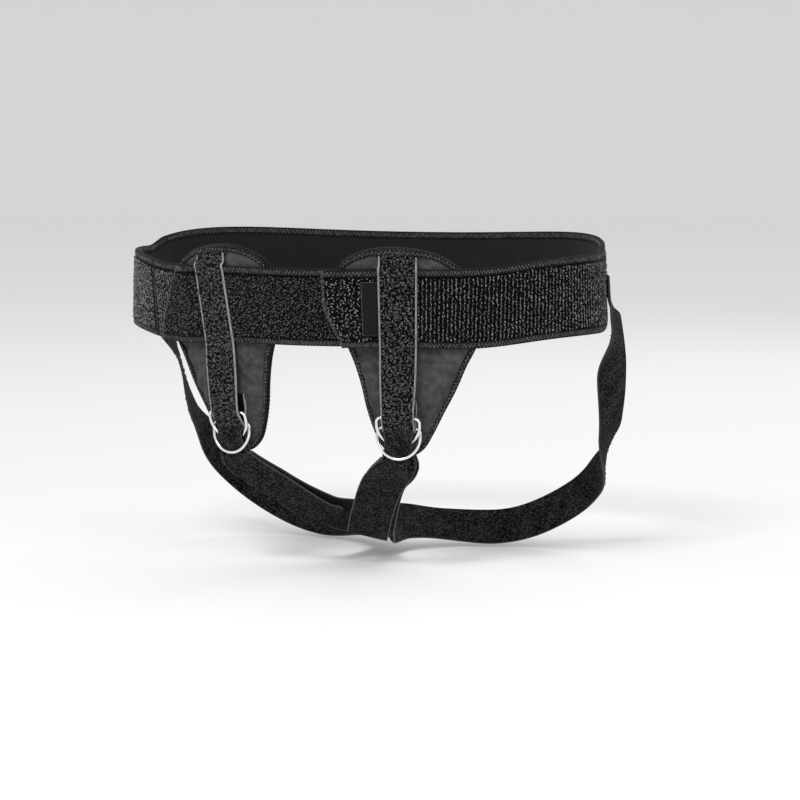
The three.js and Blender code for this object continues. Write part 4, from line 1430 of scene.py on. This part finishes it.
@dataclass
class LegStrap:
    """A brushed leg strap: folded over the inner ring, back between the legs and up to the band."""

    word: str
    side: int
    load: Table
    free: Table
    end: StrapEnd
    place: RingFrame
    ring: DRing
    width: float = 32.0
    thick: float = 1.8
    fold_top: float = -96.4
    fold_width: float = 21.0
    fall: float = 198.0
    seat: float = 285.0
    seed: int = 31

    def route(self, places: Sequence[tuple[float, ...]], turn: float) -> list[Array]:
        """Rows of places given as shares of the hip form: point, face and width."""
        rows = []
        for across, depth, fall, *face in places:
            p = (self.side * across * HIPS.half_width, depth * HIPS.back_depth, -fall * self.fall)
            n = (self.side * face[0] * turn, face[1] * turn, face[2] * turn)
            rows.append(np.array([*p, *n, self.width]))
        return rows

    def fold(self) -> list[Array]:
        """Rows where the strap folds over the inner ring's arc."""
        half = self.thick / 2
        wrap = self.ring.wire / 2 + GAP + half
        centre = self.fold_top - wrap - half
        arc = self.ring.middle - self.ring.radius
        plane = self.ring.out

        def row(height: float, away: float, out: float, up: float, width: float) -> Array:
            """One row in the flat ring frame."""
            face = self.place.out * out + self.place.up * up
            return np.array([*self.place.at(0.0, height, away), *face, width])

        at_arc = float(plane(arc))
        rows = [
            row(arc - 14, 2.4, 1, -0.12, self.width * 0.84), row(arc - 9, 2.2, 1, 0, self.width * 0.74),
            row(arc - 4.2, at_arc + wrap - 1.6, 1, 0.3, self.fold_width),
            row(arc - 0.4, at_arc + wrap + 0.1, 1, 0.2, self.fold_width),
        ]
        at_centre = float(plane(centre))
        for angle in np.linspace(0, math.pi, 7):
            c, s = math.cos(angle), math.sin(angle)
            rows.append(row(centre + wrap * s, at_centre + wrap * c, c, s, self.fold_width))
        rows.append(row(arc, at_arc - wrap - 0.05, -1, 0, self.fold_width))
        rows.append(row(arc - 8, at_arc - wrap - 0.3, -1, 0, self.width * 0.8))
        rows.append(row(arc - 15, at_arc - wrap - 0.5, -1, 0.1, self.width * 0.95))
        return rows

    def seat_rows(self) -> list[Array]:
        """Rows on the band's face, where the strap is sewn on."""
        base, up, out = HIPS.frames(self.side * self.seat)
        half = self.thick / 2
        front = unit(np.cross(up, out)) * -self.side
        places = ((-32, 5.0, 0.3), (-17, 1.2, 0.06), (-8, 0.0, 0.0), (4, 0.0, 0.0))
        return [
            np.array([*(base + up * h + out * (GAP + half + o)), *(-out - front * turn), self.width])
            for h, o, turn in places
        ]

    def sections(self, spacing: float) -> tuple[Array, Array, Array, Array]:
        """Middle line of the whole strap with its normals, widths across and run.

        Args:
            spacing: Distance between rows.

        Returns:
            Points, normals, half-width vectors and the length run so far.
        """
        rows = self.route(self.free, 1.0) + self.fold() + self.route(self.load, -1.0)
        rows += self.route(LEG_BACK, -1.0) + self.seat_rows()
        table = np.array(rows)
        points, where = open_spline(table[:, :3], spacing)
        low = np.minimum(where.astype(int), len(table) - 2)
        share = smooth(where - low)[:, None]
        n = lerp(table[low, 3:6], table[low + 1, 3:6], share)
        run = unit(np.gradient(points, axis=0))
        n = unit(n - run * np.sum(n * run, -1, keepdims=True))
        half = lerp(table[low, 6:], table[low + 1, 6:], share) / 2
        length = run_along(points)
        if self.end is StrapEnd.ROUND:
            corner = self.width * 0.36
            half = half * np.sqrt(1 - np.maximum(0, 1 - (length[:, None] + 0.3) / corner) ** 2.6)
        return points, n, unit(np.cross(n, run)) * half, length

    def strap(self) -> Solid:
        """The strap, with soft edges and a slight curl across its width."""
        points, n, across, length = self.sections(2.2)
        shares = np.array([-1, -0.985, -0.95, -0.9, -0.65, -0.35, 0, 0.35, 0.65, 0.9, 0.95, 0.985, 1])
        rise = np.array([0.2, 0.62, 0.92, 0.85, 0.95, 1, 1, 1, 0.95, 0.85, 0.92, 0.62, 0.2]) * self.thick / 2
        share = np.concatenate([shares, shares[::-1]])
        offset = np.concatenate([rise, -rise[::-1]])
        wave = 0.35 * np.sin(length / 9.0)[:, None] * share[None, :] ** 3 * np.sign(share)[None, :]
        wave += 0.25 * np.sin(length / 15.0 + 1.0)[:, None] * (1 - share[None, :] ** 2)
        free = smooth((length / 12.0))[:, None] * smooth((length[-1] - length) / 60.0)[:, None]
        made = (
            points[:, None, :]
            + across[:, None, :] * share[None, :, None]
            + n[:, None, :] * (offset[None, :] + wave * free)[..., None]
        )
        uv = np.stack(np.broadcast_arrays(share[None, :] * self.width / 2, length[:, None]), -1)
        count = len(share)
        faces = quads(len(points), count, False)
        edge = {0, 1, 10, 11, 12, 13, 14, 23, 24, 25}
        slots = [int(f[0] % count in edge) for f in faces[:-2]] + [1, 1]
        name = f"leg_strap_{self.word}"
        finishes = [LEG_WEBBING.material(), DULL_SELVAGE.material()]
        obj = piece(f"{name}_webbing", made, faces, finishes, uv, slots)
        return carry(obj, "leg_webbing", name)

    def nap(self) -> Solid:
        """Short stray loops of the brushed face, on both sides."""
        rng = np.random.default_rng(self.seed)
        points, n, across, _ = self.sections(1.9)
        loops = 7
        groups = []
        for i in range(1, len(points) - 1):
            run = unit(points[i + 1] - points[i - 1])
            for turn in (1.0, -1.0):
                share = rng.uniform(-0.9, 0.9, loops)[:, None]
                here = points[i] + across[i] * share + n[i] * turn * self.thick * 0.46
                angle = rng.uniform(0, 2 * math.pi, loops)[:, None]
                lie = unit(across[i]) * np.cos(angle) + run * np.sin(angle)
                groups.append((here, np.tile(n[i] * turn, (loops, 1)), lie))
        thread = Thread(length=1.1, rise=0.34, radius=0.26, turn=0.4, spread=0.35, sides=3, seed=self.seed)
        return sew(f"leg_strap_{self.word}_nap", "leg_webbing", WEBBING_HAIR, thread, *groups)

    def seat_seam(self) -> Solid:
        """Box of stitches that sews the strap to the band."""
        half_width, top, foot = 13.0, 1.5, -15.5
        box = [(share * half_width, level, 1) for share in np.linspace(-1, 1, 12) for level in (top, foot)]
        for level in np.linspace(foot, top, 8):
            box += [(half_width, level, 0), (-half_width, level, 0)]
        across, height, level = (np.array(v, float) for v in zip(*box))
        along = self.side * self.seat + across
        places = HIPS.points(along, height, GAP + self.thick + 0.1)
        _, up, facing = HIPS.frames(along)
        run = unit(np.cross(up, facing)) * level[:, None] + up * (1 - level)[:, None]
        thread = Thread(length=1.9, rise=0.2, radius=0.22, seed=self.seed)
        return sew(f"leg_strap_{self.word}_seam", "leg_webbing", TAPE_THREAD, thread, (places, facing, run))

    def build(self) -> None:
        """Makes the strap, its nap and its seam."""
        self.strap()
        self.nap()
        self.seat_seam()


@dataclass
class SideLabel:
    """A small bare woven label beside the left upright strap."""

    end: float = 57.4
    width: float = 11.6
    height: float = 41.0
    thick: float = 0.6
    middle: float = 0.5
    base: float = 3.6

    def build(self) -> Solid:
        """Makes the label, its folded ends a little thicker."""
        levels = np.linspace(0.5, -0.5, 26)
        height = self.middle + levels * self.height
        rows, uv = [], []
        for share in np.linspace(0, 1, 9):
            along = self.end - self.width + share * self.width
            puff = 0.25 * math.sin(math.pi * share)
            fold = 0.28 * (np.abs(levels) > 0.45)
            outer = self.base + self.thick * (0.75 if share in (0.0, 1.0) else 1.0) + puff + fold
            front = HIPS.points(along, height, outer)
            back = HIPS.points(along, height[::-1], self.base)
            rows.append(np.concatenate([front, back]))
            level = np.concatenate([height, height[::-1]])
            uv.append(np.stack([np.full(len(level), share * self.width), level], -1))
        faces = quads(len(rows), 2 * len(levels), False)
        obj = piece("side_label_cloth", np.stack(rows), faces, [LABEL_CLOTH.material()], np.stack(uv))
        carry(obj, "label_cloth", "side_label")
        return self.stitches()

    def stitches(self) -> Solid:
        """Light edge stitches down the label's free side."""
        levels = np.linspace(-0.47, 0.47, 30) * self.height + self.middle
        along = np.full(len(levels), self.end - self.width + 0.35)
        places = HIPS.points(along, levels, self.base + self.thick + 0.05)
        _, up, facing = HIPS.frames(along)
        thread = Thread(length=1.35, rise=0.16, radius=0.2, seed=3)
        return sew("side_label_stitches", "label_cloth", TAPE_THREAD, thread, (places, facing, up))


# Stage


# Soft lights: name, place in metres, side in metres and watts
LIGHTS = (
    ("key_light", (-0.05, -2.1, 1.7), 0.7, 42.0),
    ("fill_light", (1.9, -1.5, 0.9), 1.0, 10.0),
    ("rear_light", (0.2, 1.9, 1.4), 1.2, 8.0),
)


@dataclass
class Studio:
    """Plain pale floor, soft lights, and the camera at the photograph's angle."""

    azimuth: float = 20.5
    elevation: float = 5.5
    distance: float = 2.5
    lens: float = 144.8
    aim_right: float = 0.0268
    aim_down: float = 0.0797
    floor_level: float = -0.2045
    floor_reach: float = 6.0
    floor_rise: float = 1.6
    surround: float = 0.88

    def camera(self) -> None:
        """Sets the camera, aimed at the middle of the photograph's frame."""
        t, e = math.radians(self.azimuth), math.radians(self.elevation)
        back = Vector((math.sin(t) * math.cos(e), -math.cos(t) * math.cos(e), math.sin(e)))
        right = Vector((math.cos(t), math.sin(t), 0.0))
        up = Vector((-math.sin(t) * math.sin(e), math.cos(t) * math.sin(e), math.cos(e)))
        data = bpy.data.cameras.new("camera")
        data.lens, data.sensor_width = self.lens, 36.0
        camera = bpy.data.objects.new("camera", data)
        aim = right * self.aim_right - up * self.aim_down
        camera.location = aim + back * self.distance
        camera.rotation_mode = "QUATERNION"
        camera.rotation_quaternion = (-back).to_track_quat("-Z", "Y")
        bpy.context.scene.collection.objects.link(camera)
        bpy.context.scene.camera = camera

    def floor(self) -> None:
        """Sets the pale floor just under the lowest strap, with a far rim that curves up."""
        angle = np.linspace(0, math.pi / 2, 12)
        reach = np.concatenate([[1.0, 3.0], self.floor_reach + self.floor_rise * np.sin(angle)])
        level = np.concatenate([[0.0, 0.0], self.floor_rise * (1 - np.cos(angle))]) + self.floor_level
        turn = np.linspace(0, 2 * math.pi, 96, endpoint=False)
        points = [(r * math.cos(a), r * math.sin(a), z) for r, z in zip(reach, level) for a in turn]
        faces = quads(len(reach), len(turn), False)[:-1]
        mesh = bpy.data.meshes.new("floor")
        mesh.from_pydata(points, [], [f[::-1] for f in faces])
        mesh.polygons.foreach_set("use_smooth", [True] * len(faces))
        mesh.materials.append(blank("pale_floor", {"Base Color": linear("e2e2e2"), "Roughness": 0.9})[0])
        floor = bpy.data.objects.new("floor", mesh)
        bpy.context.scene.collection.objects.link(floor)

    def light(self, name: str, place: tuple[float, float, float], size: float, power: float) -> None:
        """Adds a soft square light that looks at the belt."""
        data = bpy.data.lights.new(name, "AREA")
        data.shape, data.size, data.energy = "SQUARE", size, power
        lamp = bpy.data.objects.new(name, data)
        lamp.location = place
        lamp.rotation_mode = "QUATERNION"
        lamp.rotation_quaternion = Vector(place).to_track_quat("Z", "Y")
        bpy.context.scene.collection.objects.link(lamp)

    def build(self) -> None:
        """Makes the camera, the floor, the lights and the pale surround."""
        self.camera()
        self.floor()
        for name, place, size, power in LIGHTS:
            self.light(name, place, size, power)
        world = bpy.data.worlds.new("pale_surround")
        world.use_nodes = True
        pale = world.node_tree.nodes["Background"]
        pale.inputs["Color"].default_value = linear("ffffff")
        pale.inputs["Strength"].default_value = self.surround
        bpy.context.scene.world = world
        bpy.context.scene.view_settings.view_transform = "Standard"


def main() -> None:
    """Builds the stage and every sub-assembly of the belt in order."""
    logging.basicConfig(level=logging.INFO, format="%(name)s: %(message)s")
    Studio().build()
    band = WaistBand()
    band.build()
    for word, side, strap_at in (("left", 1, 72.0), ("right", -1, 79.0)):
        GroinPad(word, side, strap_at=strap_at, seed=3 + side).build()
    for word, side, top, foot, lift in (
        ("left", 1, 72.0, 72.0, lambda along: np.full(np.shape(along), band.lift)),
        ("right", -1, -79.0, -77.5, band.lap_lift),
    ):
        place = RingFrame(foot)
        inner = DRing(f"inner_ring_{word}", place, -88.6, 0.14)
        outer = DRing(f"outer_ring_{word}", place, -98.0, -0.28)
        for ring in (inner, outer):
            ring.build()
        UprightStrap(word, top, foot, lift, place, (inner, outer), seed=21 + side).build()
        routes = (LEFT_LOAD, LEFT_FREE) if side > 0 else (RIGHT_LOAD, RIGHT_FREE)
        end = StrapEnd.SQUARE if side > 0 else StrapEnd.ROUND
        LegStrap(word, side, *routes, end, place, inner, seed=31 + side).build()
    SideLabel().build()


if __name__ == "__main__":
    main()
